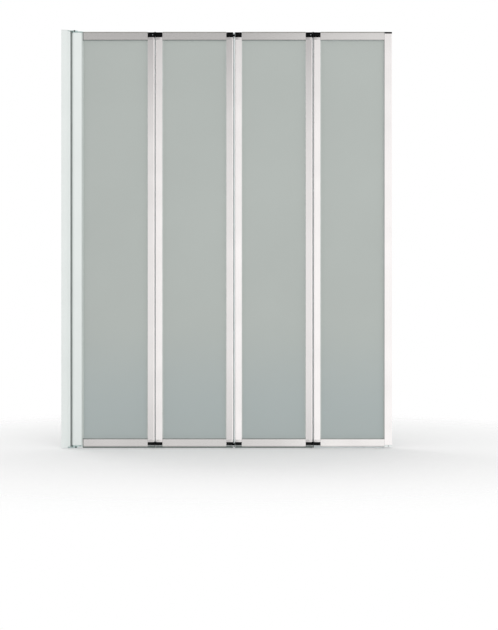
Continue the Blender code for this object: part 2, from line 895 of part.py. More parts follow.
# Joints between panels
def knuckle_zones(block):
    """Three stacked levels of a hinge, foot first."""
    foot = block[0] + KNUCKLE_INSET
    height = (block[1] - block[0] - 2 * KNUCKLE_INSET - 2 * KNUCKLE_GAP) / 3
    zones = []
    for index in range(3):
        start = foot + index * (height + KNUCKLE_GAP)
        zones.append((start, start + height))
    return zones


def knuckle_outline(gap, axis_side, side):
    """Barrel round the hinge axis with the root that joins it to the block at x = 0."""
    axis = (-gap / 2, -AXIS_OFFSET)
    step = FOLD_GAP / 2
    start = math.asin(step / KNUCKLE_RADIUS)
    outline = [(KNUCKLE_ROOT, -PANE_HALF_DEPTH)]
    outline += arc(axis, KNUCKLE_RADIUS, start, -math.pi * 3 / 2, ROUND_STEPS)
    outline += [(KNUCKLE_ROOT, -AXIS_OFFSET + KNUCKLE_RADIUS)]
    return flipped(outline, side, -axis_side)


def hinge_block(name, body, edge, side, joint, block, plug_side, own, others):
    """Moulded block at the end of a stile, with its knuckles and room for its neighbour's."""
    _, gap, axis_side, _ = joint
    groove = -axis_side * GROOVE_OFFSET if side > 0 else None
    foot, top = block
    shape = extrusion(
        name,
        [flipped(frame_outline(FACE_WIDTH, False, groove), side)],
        top - foot,
        body,
        (edge, 0, (foot + top) / 2),
        material="black_nylon",
    )
    inner = foot if plug_side < 0 else top
    length = BLOCK_PLUG_DEPTH + OVERRUN
    plug = extrusion(
        name + "_plug",
        [flipped(chamber_outline(FACE_WIDTH, FIT), side)],
        length,
        body,
        (edge, 0, inner + plug_side * (length / 2 - OVERRUN)),
    )
    combine(shape, "UNION", plug)
    axis = (edge - side * gap / 2, axis_side * AXIS_OFFSET)
    zones = knuckle_zones(block)
    for index in others:
        start, end = zones[index]
        start -= KNUCKLE_GAP / 2 if index > 0 else OVERRUN
        end += KNUCKLE_GAP / 2 if index < 2 else OVERRUN
        relief = cylinder(
            f"{name}_relief_{index}",
            RELIEF_RADIUS,
            end - start,
            body,
            (*axis, (start + end) / 2),
        )
        combine(shape, "DIFFERENCE", relief)
    for index in own:
        start, end = zones[index]
        knuckle = extrusion(
            f"{name}_knuckle_{index}",
            [knuckle_outline(gap, axis_side, side)],
            end - start,
            body,
            (edge, 0, (start + end) / 2),
        )
        combine(shape, "UNION", knuckle)
    drill = cylinder(
        name + "_drill",
        HINGE_PIN_RADIUS + FIT,
        top - foot + 2 * OVERRUN,
        body,
        (*axis, (foot + top) / 2),
    )
    combine(shape, "DIFFERENCE", drill)


def hinge_pin(name, body, place, block):
    seat = block[1] - KNUCKLE_INSET + FIT
    crown = seat + HINGE_PIN_HEAD
    shoulder = seat + HINGE_PIN_HEAD / 2
    foot = block[0] + KNUCKLE_INSET - HINGE_PIN_TAIL
    turned(
        name,
        [
            (0, crown),
            (HINGE_PIN_RADIUS, crown),
            (HINGE_PIN_HEAD_RADIUS, shoulder),
            (HINGE_PIN_HEAD_RADIUS, seat),
            (HINGE_PIN_RADIUS, seat),
            (HINGE_PIN_RADIUS, foot),
            (0, foot),
        ],
        body,
        place,
        material="steel",
    )


def joint_seal(joint, body, edge):
    """Vinyl strip in the groove of the right-hand panel, notched clear of the middle knuckles."""
    name, gap, axis_side, room = joint
    offset = -axis_side * GROOVE_OFFSET
    half = JOINT_SEAL_FLANGE_HALF
    lip = JOINT_SEAL_LIP / 2
    step = -FIT - JOINT_SEAL_FLANGE
    tip = -gap + room
    corners = anchor_corners(offset) + [
        (-FIT, offset + half, 0),
        (step, offset + half, 0),
        (step, offset + lip, 0),
        (tip, offset + lip, JOINT_SEAL_RADIUS),
        (tip, offset - lip, JOINT_SEAL_RADIUS),
        (step, offset - lip, 0),
        (step, offset - half, 0),
        (-FIT, offset - half, 0),
    ]
    foot = BOTTOM_BLOCK[0]
    top = TOP_BLOCK[1]
    strip = extrusion(
        f"joint_{name}_seal",
        [rounded(corners)],
        top - foot,
        body,
        (edge, 0, (foot + top) / 2),
        material="clear_vinyl",
    )
    for label, block in (("top", TOP_BLOCK), ("bottom", BOTTOM_BLOCK)):
        start, end = knuckle_zones(block)[1]
        notch = box(
            f"joint_{name}_seal_{label}_notch",
            (gap, FRAME_DEPTH, end - start),
            body,
            (edge + step - gap / 2, 0, (start + end) / 2),
        )
        combine(strip, "DIFFERENCE", notch)


def joint(index):
    name, gap, axis_side, _ = JOINTS[index]
    parent = BODIES[f"panel_{index + 1}"]
    child = BODIES[f"panel_{index + 2}"]
    left_edge = PANELS[index][3]
    right_edge = left_edge + gap
    axis = (left_edge + gap / 2, axis_side * AXIS_OFFSET, 0)
    for label, block, plug_side in (("top", TOP_BLOCK, -1), ("bottom", BOTTOM_BLOCK, 1)):
        stem = f"hinge_{name}_{label}"
        details = (JOINTS[index], block, plug_side)
        hinge_block(stem + "_left_block", parent, left_edge, -1, *details, (0, 2), (1,))
        hinge_block(stem + "_right_block", child, right_edge, 1, *details, (1,), (0, 2))
        hinge_pin(stem + "_pin", parent, axis, block)
    joint_seal(JOINTS[index], child, right_edge)


wall_channel()
channel_cap()
adjusting_profile()
wall_gasket()
pivot_bracket("pivot_bracket_top", 1)
pivot_bracket("pivot_bracket_bottom", -1)
for NUMBER in range(1, len(PANELS) + 1):
    panel(NUMBER)
for INDEX in range(len(JOINTS)):
    joint(INDEX)
bpy.context.view_layer.update()
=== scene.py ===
# %% [markdown]
# # Folding bath screen
# This lesson dresses a folding bath screen: four framed frosted panels, hinged to one another and
# to a wall channel. The solids come from CAD, in metres, standing where they belong:
# X runs from the wall channel to the free end, -Y is the front, and the foot is at Z = -0.7.
# Most pieces are extrusions and mouldings whose shape is already right, so here they get their
# real surfaces, and the small fasteners and trims that CAD leaves out are modelled around them.

# %% Load the solids
import json
import math

import bmesh
import bpy
from mathutils import Matrix, Vector


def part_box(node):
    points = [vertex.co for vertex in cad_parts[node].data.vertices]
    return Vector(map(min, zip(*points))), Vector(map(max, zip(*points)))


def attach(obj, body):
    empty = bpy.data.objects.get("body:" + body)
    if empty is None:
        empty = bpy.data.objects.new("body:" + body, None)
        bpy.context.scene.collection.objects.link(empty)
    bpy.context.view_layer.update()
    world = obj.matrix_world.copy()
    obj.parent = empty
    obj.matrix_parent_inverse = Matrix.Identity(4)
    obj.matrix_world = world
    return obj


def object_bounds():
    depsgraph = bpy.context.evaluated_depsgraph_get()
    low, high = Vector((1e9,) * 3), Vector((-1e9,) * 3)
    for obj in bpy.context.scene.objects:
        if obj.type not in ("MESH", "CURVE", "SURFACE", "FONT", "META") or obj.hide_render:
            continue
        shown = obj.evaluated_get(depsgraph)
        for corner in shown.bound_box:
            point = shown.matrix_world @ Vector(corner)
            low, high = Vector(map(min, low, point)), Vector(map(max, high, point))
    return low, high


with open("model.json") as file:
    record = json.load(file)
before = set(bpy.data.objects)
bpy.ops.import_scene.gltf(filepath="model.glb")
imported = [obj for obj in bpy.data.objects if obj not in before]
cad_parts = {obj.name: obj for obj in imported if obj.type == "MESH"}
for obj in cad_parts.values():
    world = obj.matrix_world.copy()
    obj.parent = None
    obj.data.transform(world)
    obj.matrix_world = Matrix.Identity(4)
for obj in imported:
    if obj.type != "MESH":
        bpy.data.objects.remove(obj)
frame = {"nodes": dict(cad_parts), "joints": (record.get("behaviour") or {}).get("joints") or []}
NODES = frame["nodes"]
CAD_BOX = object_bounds()
MM = 0.001
scene = bpy.context.scene
print("solids:", len(NODES), "box:", CAD_BOX)

# %% [markdown]
# ## Camera
# The photo was taken square to the screen from about five metres, a little below its middle.
# The camera could be turned down to frame the foot, but then upright lines would lean. Keeping it
# level and shifting the lens, as with a view camera, frames the screen and keeps stiles parallel.

# %% Camera
CAMERA_PLACE = (0.628, -5.0, -0.187)
CAMERA_LENS = 85.2
CAMERA_SHIFT = -0.032

camera_data = bpy.data.cameras.new("camera")
camera_data.lens = CAMERA_LENS
camera_data.shift_y = CAMERA_SHIFT
camera = bpy.data.objects.new("camera", camera_data)
camera.location = CAMERA_PLACE
camera.rotation_euler = (math.radians(90), 0, 0)
scene.collection.objects.link(camera)
scene.camera = camera
scene.view_settings.view_transform = "Standard"
print("camera at", CAMERA_PLACE, "lens", CAMERA_LENS)

# %% [markdown]
# ## Helpers for materials
# Colours are written the way a colour picker shows them, as hex values. Blender computes in
# linear light, so one function turns them. Another adds a node, sets it and joins its inputs, so
# a recipe reads as a list of layers. Patterns are given in millimetres: object coordinates are in
# metres here, so a noise of 1000 / 2 makes lumps about 2 mm across. A noise seldom leaves the
# middle of its range, so most ramps run from 0.3 to 0.7 and not from 0 to 1.

# %% Colours and nodes
PER_MM = 1000.0


def linear(code):
    """Linear RGBA of a colour written as sRGB hex."""
    channels = []
    for start in (1, 3, 5):
        value = int(code[start:start + 2], 16) / 255
        channels.append(value / 12.92 if value <= 0.04045 else ((value + 0.055) / 1.055) ** 2.4)
    return (*channels, 1)


def grey(value):
    return (value, value, value, 1)


def between(first, last, start=0.3, end=0.7):
    """Ramp stops from one colour to another."""
    return [(start, first), (end, last)]


def add(tree, kind, values=None, links=None, stops=None, **settings):
    """Node with its settings, socket values, the outputs that feed it, and a ramp's stops."""
    node = tree.nodes.new("ShaderNode" + kind)
    for name, setting in settings.items():
        setattr(node, name, setting)
    for socket, value in (values or {}).items():
        node.inputs[socket].default_value = value
    for socket, output in (links or {}).items():
        tree.links.new(output, node.inputs[socket])
    for index, (position, colour) in enumerate(stops or ()):
        elements = node.color_ramp.elements
        element = elements[index] if index < 2 else elements.new(position)
        element.position = position
        element.color = colour
    return node


def start_material(name):
    """Material with its tree, its shader and the object's own coordinates."""
    material = bpy.data.materials.new(name)
    material.use_nodes = True
    tree = material.node_tree
    place = add(tree, "TexCoord").outputs["Object"]
    return material, tree, tree.nodes["Principled BSDF"], place


def join(tree, shader, colour, roughness, bump):
    """Feeds the shader with the last node of each layer."""
    tree.links.new(colour.outputs[0], shader.inputs["Base Color"])
    tree.links.new(roughness.outputs[0], shader.inputs["Roughness"])
    tree.links.new(bump.outputs[0], shader.inputs["Normal"])


print("mid grey in linear light:", linear("#808080")[0])

# %% [markdown]
# ## Bright anodised aluminium
# The stiles and rails are extrusions, brightened and anodised. The die leaves fine lines along the
# length, so a reflection stays sharp along them and smears across them. Blender draws that as
# anisotropy: the tangent has to run across the lines, on every face. It could be painted as a
# texture, but a cross product of the surface normal and the direction of extrusion always gives it.
# The real lines are a tenth of a millimetre apart, and are drawn 1.5 mm wide, because finer ones
# wouldn't show. Clouds of 110 mm break up the even finish, and the oxide gives a warm cast.

# %% Anodised aluminium
LINE_WIDTH = 1.5
LINE_LENGTH = 800.0
CLOUD_SIZE = 110.0
TONE_RANGE = (0.45, 1.0)
LINE_SHARE = 0.5
LINE_RELIEF = 0.2 * MM
LINE_STRENGTH = 0.1
GLOSS_SPREAD = 0.03


def anodised_aluminium(name, colour, dull, direction, roughness, smear):
    """Metal with die lines along the direction, and reflections smeared across them."""
    material, tree, shader, place = start_material(name)
    scale = [PER_MM / (LINE_LENGTH if part > 0.5 else LINE_WIDTH) for part in direction]
    drawn = add(tree, "Mapping", {"Scale": scale}, {"Vector": place}).outputs[0]
    lines = add(tree, "TexNoise", {"Scale": 1.0, "Detail": 3.0}, {"Vector": drawn}).outputs[0]
    clouds = add(tree, "TexNoise", {"Scale": PER_MM / CLOUD_SIZE}, {"Vector": place}).outputs[0]
    links = {0: lines, 2: clouds}
    mottle = add(tree, "Math", {1: LINE_SHARE}, links, operation="MULTIPLY_ADD").outputs[0]
    stops = between(linear(dull), linear(colour), *TONE_RANGE)
    tint = add(tree, "ValToRGB", {}, {"Fac": mottle}, stops)
    duller, glossier = grey(roughness + GLOSS_SPREAD), grey(roughness - GLOSS_SPREAD)
    gloss = add(tree, "ValToRGB", {}, {"Fac": mottle}, between(duller, glossier, *TONE_RANGE))
    relief = {"Strength": LINE_STRENGTH, "Distance": LINE_RELIEF}
    bump = add(tree, "Bump", relief, {"Height": lines})
    join(tree, shader, tint, gloss, bump)
    shader.inputs["Metallic"].default_value = 1.0
    shader.inputs["Anisotropic"].default_value = smear
    spaces = {"vector_type": "VECTOR", "convert_from": "OBJECT", "convert_to": "WORLD"}
    turned = add(tree, "VectorTransform", {"Vector": direction}, **spaces).outputs[0]
    normal = add(tree, "NewGeometry").outputs["Normal"]
    links = {0: normal, 1: turned}
    across = add(tree, "VectorMath", {}, links, operation="CROSS_PRODUCT").outputs[0]
    tree.links.new(across, shader.inputs["Tangent"])
    return material


# A little off the axis, so that the cross product has a length on cut ends too
UPRIGHT = (0.002, 0.003, 1.0)
LEVEL = (1.0, 0.003, 0.002)
stile_metal = anodised_aluminium(
    "anodised_aluminium_stile", "#fefaf9", "#f9f5f4", UPRIGHT, roughness=0.18, smear=0.45
)
sleeve_metal = anodised_aluminium(
    "anodised_aluminium_sleeve", "#e9e5e4", "#e0dcdb", UPRIGHT, roughness=0.20, smear=0.45
)
rail_metal = anodised_aluminium(
    "anodised_aluminium_rail", "#f7f4f2", "#f0edeb", LEVEL, roughness=0.16, smear=0.5
)
print("made", stile_metal.name, sleeve_metal.name, rail_metal.name)

# %% [markdown]
# ## Powder-coated aluminium
# The wall channel, the adjusting profile and the first stile are coated with white powder that is
# baked until it flows. The skin keeps a faint orange peel with ripples about 2 mm across, and a
# satin gloss. A noise of that size drives a shallow bump, and a wide one a hint of uneven tone.

# %% Powder coat
PEEL_SIZE = 2.2
PEEL_RELIEF = 0.3 * MM
PEEL_STRENGTH = 0.2
PEEL_GLOSS = (0.34, 0.44)
DRIFT_SIZE = 170.0


def powder_coat(name, colour, shade):
    """Satin paint with an orange peel."""
    material, tree, shader, place = start_material(name)
    values = {"Scale": PER_MM / PEEL_SIZE, "Detail": 1.5}
    peel = add(tree, "TexNoise", values, {"Vector": place}).outputs[0]
    drift = add(tree, "TexNoise", {"Scale": PER_MM / DRIFT_SIZE}, {"Vector": place}).outputs[0]
    tint = add(tree, "ValToRGB", {}, {"Fac": drift}, between(linear(shade), linear(colour)))
    gloss = add(tree, "ValToRGB", {}, {"Fac": peel}, between(*map(grey, PEEL_GLOSS)))
    relief = {"Strength": PEEL_STRENGTH, "Distance": PEEL_RELIEF}
    bump = add(tree, "Bump", relief, {"Height": peel})
    join(tree, shader, tint, gloss, bump)
    return material


white_coat = powder_coat("white_powder_coat", "#e1e6e4", "#dde2e0")
print("made", white_coat.name)

# %% [markdown]
# ## Frosted glass
# The panes are toughened glass, etched on one face until it is matt, with a grey-green cast from
# the iron in it. Light comes through but no shapes do. Rough refraction alone would glow in front
# of anything white, so most of the light is scattered at the surface, as the etching does, and a
# small part goes through. A grain of a millimetre stands for the etching, which is finer. The tone
# sinks a little near the foot: that is painted shade, darker towards the bottom.

# %% Frosted glass
ETCH_SIZE = 1.1
ETCH_RELIEF = 0.2 * MM
ETCH_STRENGTH = 0.15
ETCH_GLOSS = (0.55, 0.70)
HAZE_SIZE = 330.0
# Painted shade at the foot: the height where it begins, and how far down it deepens
PAINTED_SHADE_FROM = -0.24
PAINTED_SHADE_SPAN = 0.36
GLASS_IOR = 1.52
CLEAR_SHARE = 0.12


def frosted_glass(name, colour, shade, painted_shade):
    """Etched glass, with painted shade that darkens its tone towards the foot."""
    material, tree, shader, place = start_material(name)
    etch = add(tree, "TexNoise", {"Scale": PER_MM / ETCH_SIZE}, {"Vector": place}).outputs[0]
    values = {"Scale": PER_MM / HAZE_SIZE, "Detail": 3.0}
    haze = add(tree, "TexNoise", values, {"Vector": place}).outputs[0]
    stops = between(linear(shade), linear(colour))
    clear = add(tree, "ValToRGB", {}, {"Fac": haze}, stops).outputs[0]
    # Painted shade: the tint darkens towards the foot, by height
    height = add(tree, "SeparateXYZ", {}, {0: place}).outputs["Z"]
    values = {1: PAINTED_SHADE_FROM, 2: PAINTED_SHADE_FROM - PAINTED_SHADE_SPAN, 3: 0.0, 4: 1.0}
    depth = add(tree, "MapRange", values, {0: height}, interpolation_type="SMOOTHSTEP")
    links = {"Factor": depth.outputs[0], 6: clear}
    tint = add(tree, "Mix", {7: linear(painted_shade)}, links, data_type="RGBA")
    tree.links.new(tint.outputs[2], shader.inputs["Base Color"])
    gloss = add(tree, "ValToRGB", {}, {"Fac": etch}, between(*map(grey, ETCH_GLOSS)))
    tree.links.new(gloss.outputs[0], shader.inputs["Roughness"])
    relief = {"Strength": ETCH_STRENGTH, "Distance": ETCH_RELIEF}
    bump = add(tree, "Bump", relief, {"Height": etch})
    tree.links.new(bump.outputs[0], shader.inputs["Normal"])
    shader.inputs["IOR"].default_value = GLASS_IOR
    shader.inputs["Transmission Weight"].default_value = CLEAR_SHARE
    return material


pane_glass = frosted_glass("frosted_glass", "#b5bbb7", "#b2b8b4", "#adb6b5")
print("made", pane_glass.name)

# %% [markdown]
# ## Moulded plastics, rubber and vinyl
# The hinge blocks are black nylon, with the fine leathery grain of a spark-eroded mould. The caps
# are white ABS. The gaskets are EPDM rubber, matt and grey, and the strips that close the joints
# are soft PVC, which lets some light in and so looks milky. All are one recipe: two close tones,
# a grain of a real size, and a roughness, with translucency only where the material has it.

# %% Moulded materials
PATCH_SIZE = 25.0
ROUGH_RANGE = 0.06
GRAIN_STRENGTH = 0.3
PLASTIC_IOR = 1.53


def moulded(name, colour, shade, grain, rough, depth, gloss=0.5, clear=0.0):
    """Plastic or rubber with a grain and a relief in millimetres."""
    material, tree, shader, place = start_material(name)
    texture = add(tree, "TexNoise", {"Scale": PER_MM / grain}, {"Vector": place}).outputs[0]
    patches = add(tree, "TexNoise", {"Scale": PER_MM / PATCH_SIZE}, {"Vector": place}).outputs[0]
    tint = add(tree, "ValToRGB", {}, {"Fac": patches}, between(linear(shade), linear(colour)))
    stops = between(grey(rough - ROUGH_RANGE), grey(rough + ROUGH_RANGE))
    sheen = add(tree, "ValToRGB", {}, {"Fac": texture}, stops)
    relief = {"Strength": GRAIN_STRENGTH, "Distance": depth * MM}
    bump = add(tree, "Bump", relief, {"Height": texture})
    join(tree, shader, tint, sheen, bump)
    shader.inputs["IOR"].default_value = PLASTIC_IOR
    shader.inputs["Specular IOR Level"].default_value = gloss
    shader.inputs["Transmission Weight"].default_value = clear
    return material


black_nylon = moulded("black_nylon", "#070809", "#030404", 0.8, 0.50, 0.10, gloss=0.06)
rib_nylon = moulded("black_nylon_flash", "#1f2123", "#17181a", 0.8, 0.40, 0.10, gloss=0.2)
white_abs = moulded("white_abs", "#e4e8e6", "#dfe4e2", 1.2, 0.35, 0.05)
grey_epdm = moulded("grey_epdm_rubber", "#8d9391", "#858b89", 1.0, 0.75, 0.10, gloss=0.3)
dark_epdm = moulded("dark_epdm_rubber", "#747a78", "#6c7270", 1.0, 0.75, 0.10, gloss=0.2)
glazing_pvc = moulded("pale_grey_soft_pvc", "#bfc5c2", "#bac0bd", 1.0, 0.60, 0.05, gloss=0.3)
milky_pvc = moulded("milky_soft_pvc", "#eff5f5", "#eaf0f0", 2.0, 0.35, 0.02, clear=0.35)
cover_pvc = moulded("olive_grey_soft_pvc", "#95978e", "#8c8e85", 1.5, 0.50, 0.05, gloss=0.3)
# Grey soft PVC of the lower seals: its own grey, darkened further by painted contact shadow along
# the foot
seal_pvc_painted_shade = moulded("grey_soft_pvc", "#8d9693", "#858e8b", 2.0, 0.35, 0.05, clear=0.2)
print("made", black_nylon.name, white_abs.name, grey_epdm.name, milky_pvc.name)

# %% [markdown]
# ## Plated castings and turned pins
# The pivot brackets and the caps of the first stile are zinc castings with a bluish bright plating.
# The pins are turned from steel, so fine rings run round them. Castings cool with soft dimples of
# about 3 mm, and rings on a pin are a wave along its length.

# %% Plated zinc and turned steel
DIMPLE_SIZE = 3.0
DIMPLE_RELIEF = 0.3 * MM
DIMPLE_STRENGTH = 0.25
DIMPLE_RANGE = (0.35, 0.65)
PLATE_GLOSS = (0.30, 0.40)
RING_SCALE = 350.0
RING_WAVER = 0.4
RING_RELIEF = 0.1 * MM
RING_STRENGTH = 0.2
RING_RANGE = (0.0, 1.0)
RING_GLOSS = (0.25, 0.32)


def plated_zinc(name, colour, shade):
    """Bright plating over the soft dimples of a casting."""
    material, tree, shader, place = start_material(name)
    dimples = add(tree, "TexNoise", {"Scale": PER_MM / DIMPLE_SIZE}, {"Vector": place}).outputs[0]
    stops = between(linear(shade), linear(colour), *DIMPLE_RANGE)
    tint = add(tree, "ValToRGB", {}, {"Fac": dimples}, stops)
    gloss = add(tree, "ValToRGB", {}, {"Fac": dimples}, between(*map(grey, PLATE_GLOSS)))
    relief = {"Strength": DIMPLE_STRENGTH, "Distance": DIMPLE_RELIEF}
    bump = add(tree, "Bump", relief, {"Height": dimples})
    join(tree, shader, tint, gloss, bump)
    shader.inputs["Metallic"].default_value = 1.0
    return material


def turned_steel(name, colour, shade):
    """Steel with the rings that a lathe leaves."""
    material, tree, shader, place = start_material(name)
    values = {"Scale": RING_SCALE, "Distortion": RING_WAVER}
    rings = add(tree, "TexWave", values, {"Vector": place}, bands_direction="Z").outputs["Fac"]
    stops = between(linear(shade), linear(colour), *RING_RANGE)
    tint = add(tree, "ValToRGB", {}, {"Fac": rings}, stops)
    stops = between(*map(grey, RING_GLOSS), *RING_RANGE)
    gloss = add(tree, "ValToRGB", {}, {"Fac": rings}, stops)
    relief = {"Strength": RING_STRENGTH, "Distance": RING_RELIEF}
    bump = add(tree, "Bump", relief, {"Height": rings})
    join(tree, shader, tint, gloss, bump)
    shader.inputs["Metallic"].default_value = 1.0
    return material


zinc_plate = plated_zinc("plated_zinc", "#cfe2df", "#c3d8d5")
pin_steel = turned_steel("turned_steel", "#a3a5a8", "#8e9093")
dark_steel = turned_steel("blackened_steel", "#43494d", "#383d41")
print("made", zinc_plate.name, pin_steel.name, dark_steel.name)

# %% [markdown]
# ## Dressing the solids
# Each solid's name ends in what it is, so its finish follows from that. The first match counts, so
# the exceptions stand first: the first stile is coated to match the wall channel, for one.

# %% Finishes by name
FINISHES = [
    ("hinge_stile", white_coat),
    ("wall_channel", white_coat),
    ("adjusting_profile", white_coat),
    ("_stile", stile_metal),
    ("_rail", rail_metal),
    ("_pane", pane_glass),
    ("glazing_seal", glazing_pvc),
    # The fourth panel's lower seal is milky and the others are darker grey: that darker grey is
    # painted contact shadow, which the fourth panel is given less of
    ("panel_4_bottom_seal", milky_pvc),
    ("bottom_seal", seal_pvc_painted_shade),
    ("_seal", milky_pvc),
    ("wall_gasket", grey_epdm),
    ("_block", black_nylon),
    ("_pin", pin_steel),
    ("channel_cap", white_abs),
    ("end_cap_top", black_nylon),
    ("end_cap_bottom", white_abs),
    ("hinge_cap", zinc_plate),
    ("pivot_bracket", zinc_plate),
]
for name, solid in NODES.items():
    finish = next(material for ending, material in FINISHES if ending in name)
    solid.data.materials.clear()
    solid.data.materials.append(finish)
    print(f"{name}: {finish.name}")

# %% [markdown]
# ## Helpers for modelling
# New pieces start from a primitive at its size and place. It opens in edit mode with nothing
# picked, the faces or edges to shape are picked by where they are, and one function closes the
# edit, smooths what is round, and fixes the piece to the body that it moves with. A piece that
# repeats is copied with its own mesh, moved or mirrored by a matrix.

# %% Modelling helpers
NEAR = 0.01 * MM
SMOOTH_ANGLE = math.radians(35)


def start_piece(name, kind, **settings):
    """Primitive with its place in its mesh, open in edit mode with nothing picked."""
    bpy.ops.object.select_all(action="DESELECT")
    getattr(bpy.ops.mesh, f"primitive_{kind}_add")(**settings)
    piece = bpy.context.active_object
    piece.name = name
    piece.data.name = name
    bpy.ops.object.transform_apply(location=True, rotation=True, scale=True)
    bpy.ops.object.mode_set(mode="EDIT")
    bpy.ops.mesh.select_all(action="DESELECT")
    return piece


def pick(piece, kind, test):
    """Picks the faces or edges of the open piece whose middle and direction pass the test."""
    bpy.ops.mesh.select_mode(type=kind)
    bpy.ops.mesh.select_all(action="DESELECT")
    shape = bmesh.from_edit_mesh(piece.data)
    if kind == "FACE":
        found = [face for face in shape.faces if test(face.calc_center_median(), face.normal)]
    else:
        found = []
        for edge in shape.edges:
            first, second = (vert.co for vert in edge.verts)
            if test((first + second) / 2, (second - first).normalized()):
                found.append(edge)
    for part in found:
        part.select_set(True)
    bmesh.update_edit_mesh(piece.data)


def finish_piece(piece, body, material):
    """Closes the edit, smooths round surfaces and fixes the piece to its body."""
    bpy.ops.mesh.select_all(action="SELECT")
    bpy.ops.mesh.normals_make_consistent(inside=False)
    bpy.ops.object.mode_set(mode="OBJECT")
    bpy.ops.object.shade_smooth_by_angle(angle=SMOOTH_ANGLE)
    piece.data.materials.append(material)
    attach(piece, body)
    print(f"{piece.name}: {len(piece.data.polygons)} faces on {body}")


def copy_piece(piece, name, change, body, material=None):
    """Copy with its own mesh, changed by the matrix, with its faces outwards if mirrored."""
    twin = piece.copy()
    twin.data = piece.data.copy()
    twin.name = name
    twin.data.name = name
    twin.data.transform(change)
    if change.determinant() < 0:
        twin.data.flip_normals()
    if material:
        twin.data.materials[0] = material
    scene.collection.objects.link(twin)
    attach(twin, body)
    print(f"{name}: copied")


print("helpers ready")

# %% [markdown]
# ## Caps over the adjusting screws
# Three screws through the rear leg of the wall channel clamp the adjusting profile once the
# screen stands plumb, and a snap-on cap hides each. A squashed sphere would look like a pebble. A
# real cap is a disc with a short wall and a low dome, so a cylinder has its outer face inset and
# raised, and its rim bevelled.

# %% Screw caps
CAP_RADIUS = 4.6 * MM
CAP_HEIGHT = 1.6 * MM
CAP_DOME = 0.5 * MM
# How far in each step of the dome lies, and its share of the dome's height
CAP_STEPS = ((1.4 * MM, 0.7), (1.6 * MM, 0.3))
CAP_ROUND = 0.4 * MM
CAP_ACROSS = 0.6
CAP_LEVELS = (-0.5, 0.0, 0.5)

channel_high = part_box("wall_channel")[1]
leg = channel_high.y
cap_place = (channel_high.x * CAP_ACROSS, leg + CAP_HEIGHT / 2, CAP_LEVELS[0])
screw_cap = start_piece(
    "adjusting_screw_cap_1",
    "cylinder",
    vertices=40,
    radius=CAP_RADIUS,
    depth=CAP_HEIGHT,
    location=cap_place,
    rotation=(math.radians(90), 0, 0),
)
pick(screw_cap, "FACE", lambda middle, normal: normal.y > 0.9)
for inset, share in CAP_STEPS:
    bpy.ops.mesh.inset(thickness=inset)
    bpy.ops.transform.translate(value=(0, CAP_DOME * share, 0))


def on_cap_rim(middle, along):
    """Whether an edge lies on the rim of the cap's outer face."""
    reach = math.hypot(middle.x - cap_place[0], middle.z - cap_place[2])
    return abs(middle.y - leg - CAP_HEIGHT) < NEAR and reach > CAP_RADIUS * 0.9


pick(screw_cap, "EDGE", on_cap_rim)
bpy.ops.mesh.bevel(offset=CAP_ROUND, segments=3)
finish_piece(screw_cap, "wall_side", white_abs)
for index, level in enumerate(CAP_LEVELS[1:], start=2):
    change = Matrix.Translation((0, 0, level - CAP_LEVELS[0]))
    copy_piece(screw_cap, f"adjusting_screw_cap_{index}", change, "wall_side")

# %% [markdown]
# ## Clips of the pivot pins
# A black clip on the front of each bracket keeps the pin from creeping out, and is the dark dot
# above and below the first stile in the photo. It is bent like an angle: a tab in front of the
# round arm and a leg along the outside of its plate. A cube makes the tab, a bisect marks off the
# leg's thickness on its inner face, and that part is drawn out over the plate. The lower clip is a
# mirrored copy, set a little towards the free end, as it stands in the photo.

# %% Pivot clips
CLIP_WIDTH = 4.2 * MM
CLIP_TAB = 1.0 * MM
CLIP_LEG = 0.8 * MM
CLIP_LEG_REACH = 5.4 * MM
CLIP_DROP = 5.2 * MM
CLIP_ROOM = 0.06 * MM
CLIP_ROUND = 0.3 * MM
CLIP_SHIFTS = (-0.6 * MM, 4.3 * MM)
PIN_HEAD = 1.2 * MM

pivot = Vector(frame["joints"][0]["pos_m"])
nose_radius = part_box("panel_1_hinge_stile")[1].y
plate_top = -(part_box("pivot_bracket_bottom")[0].z) - PIN_HEAD
clip_top = plate_top + CLIP_LEG
inner_y = -nose_radius - CLIP_ROOM
clip = start_piece(
    "pivot_clip_top",
    "cube",
    size=1,
    location=(pivot.x + CLIP_SHIFTS[0], inner_y - CLIP_TAB / 2, clip_top - CLIP_DROP / 2),
    scale=(CLIP_WIDTH, CLIP_TAB, CLIP_DROP),
)
bpy.ops.mesh.select_all(action="SELECT")
bpy.ops.mesh.bisect(plane_co=(0, 0, plate_top), plane_no=(0, 0, 1))
pick(clip, "FACE", lambda middle, normal: normal.y > 0.9 and middle.z > plate_top)
bpy.ops.mesh.extrude_region_move(TRANSFORM_OT_translate={"value": (0, CLIP_LEG_REACH, 0)})
pick(clip, "EDGE", lambda middle, along: abs(along.x) < 0.1 and middle.y < inner_y - NEAR)
bpy.ops.mesh.bevel(offset=CLIP_ROUND, segments=2)
finish_piece(clip, "wall_side", black_nylon)
aside = Matrix.Translation((CLIP_SHIFTS[1] - CLIP_SHIFTS[0], 0, 0))
change = aside @ Matrix.Diagonal((1, 1, -1, 1))
copy_piece(clip, "pivot_clip_bottom", change, "wall_side")

# %% [markdown]
# ## Bands round the stiles
# Two trims go right round a stile's section: a low rib where the halves of the mould of each hinge
# block met, and a sleeve of bright metal that covers the seam between each block and the stile.
# The section tapers towards the pane, so a cube gets its pane side drawn in, and its upright edges
# take the stile's own corners. Both stand a fraction of a millimetre proud at front and back, and
# just inside at the sides, where the joint seal runs. Each is made once, on the left of the first
# joint, and copied, with a mirrored copy where the stile lies on the right of its joint.

# %% Ribs and sleeves
RAIL_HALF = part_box("panel_1_top_rail")[1].y
STILE_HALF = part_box("panel_1_right_stile")[1].y
CORNER = 2.5 * MM
PANE_CORNER = 0.6 * MM
RIB_HEIGHT = 0.9 * MM
RIB_PROUD = 0.25 * MM
SLEEVE_PROUD = 0.2 * MM
SIDE_ROOM = 0.1 * MM
SLEEVE_ROOM = 0.1 * MM

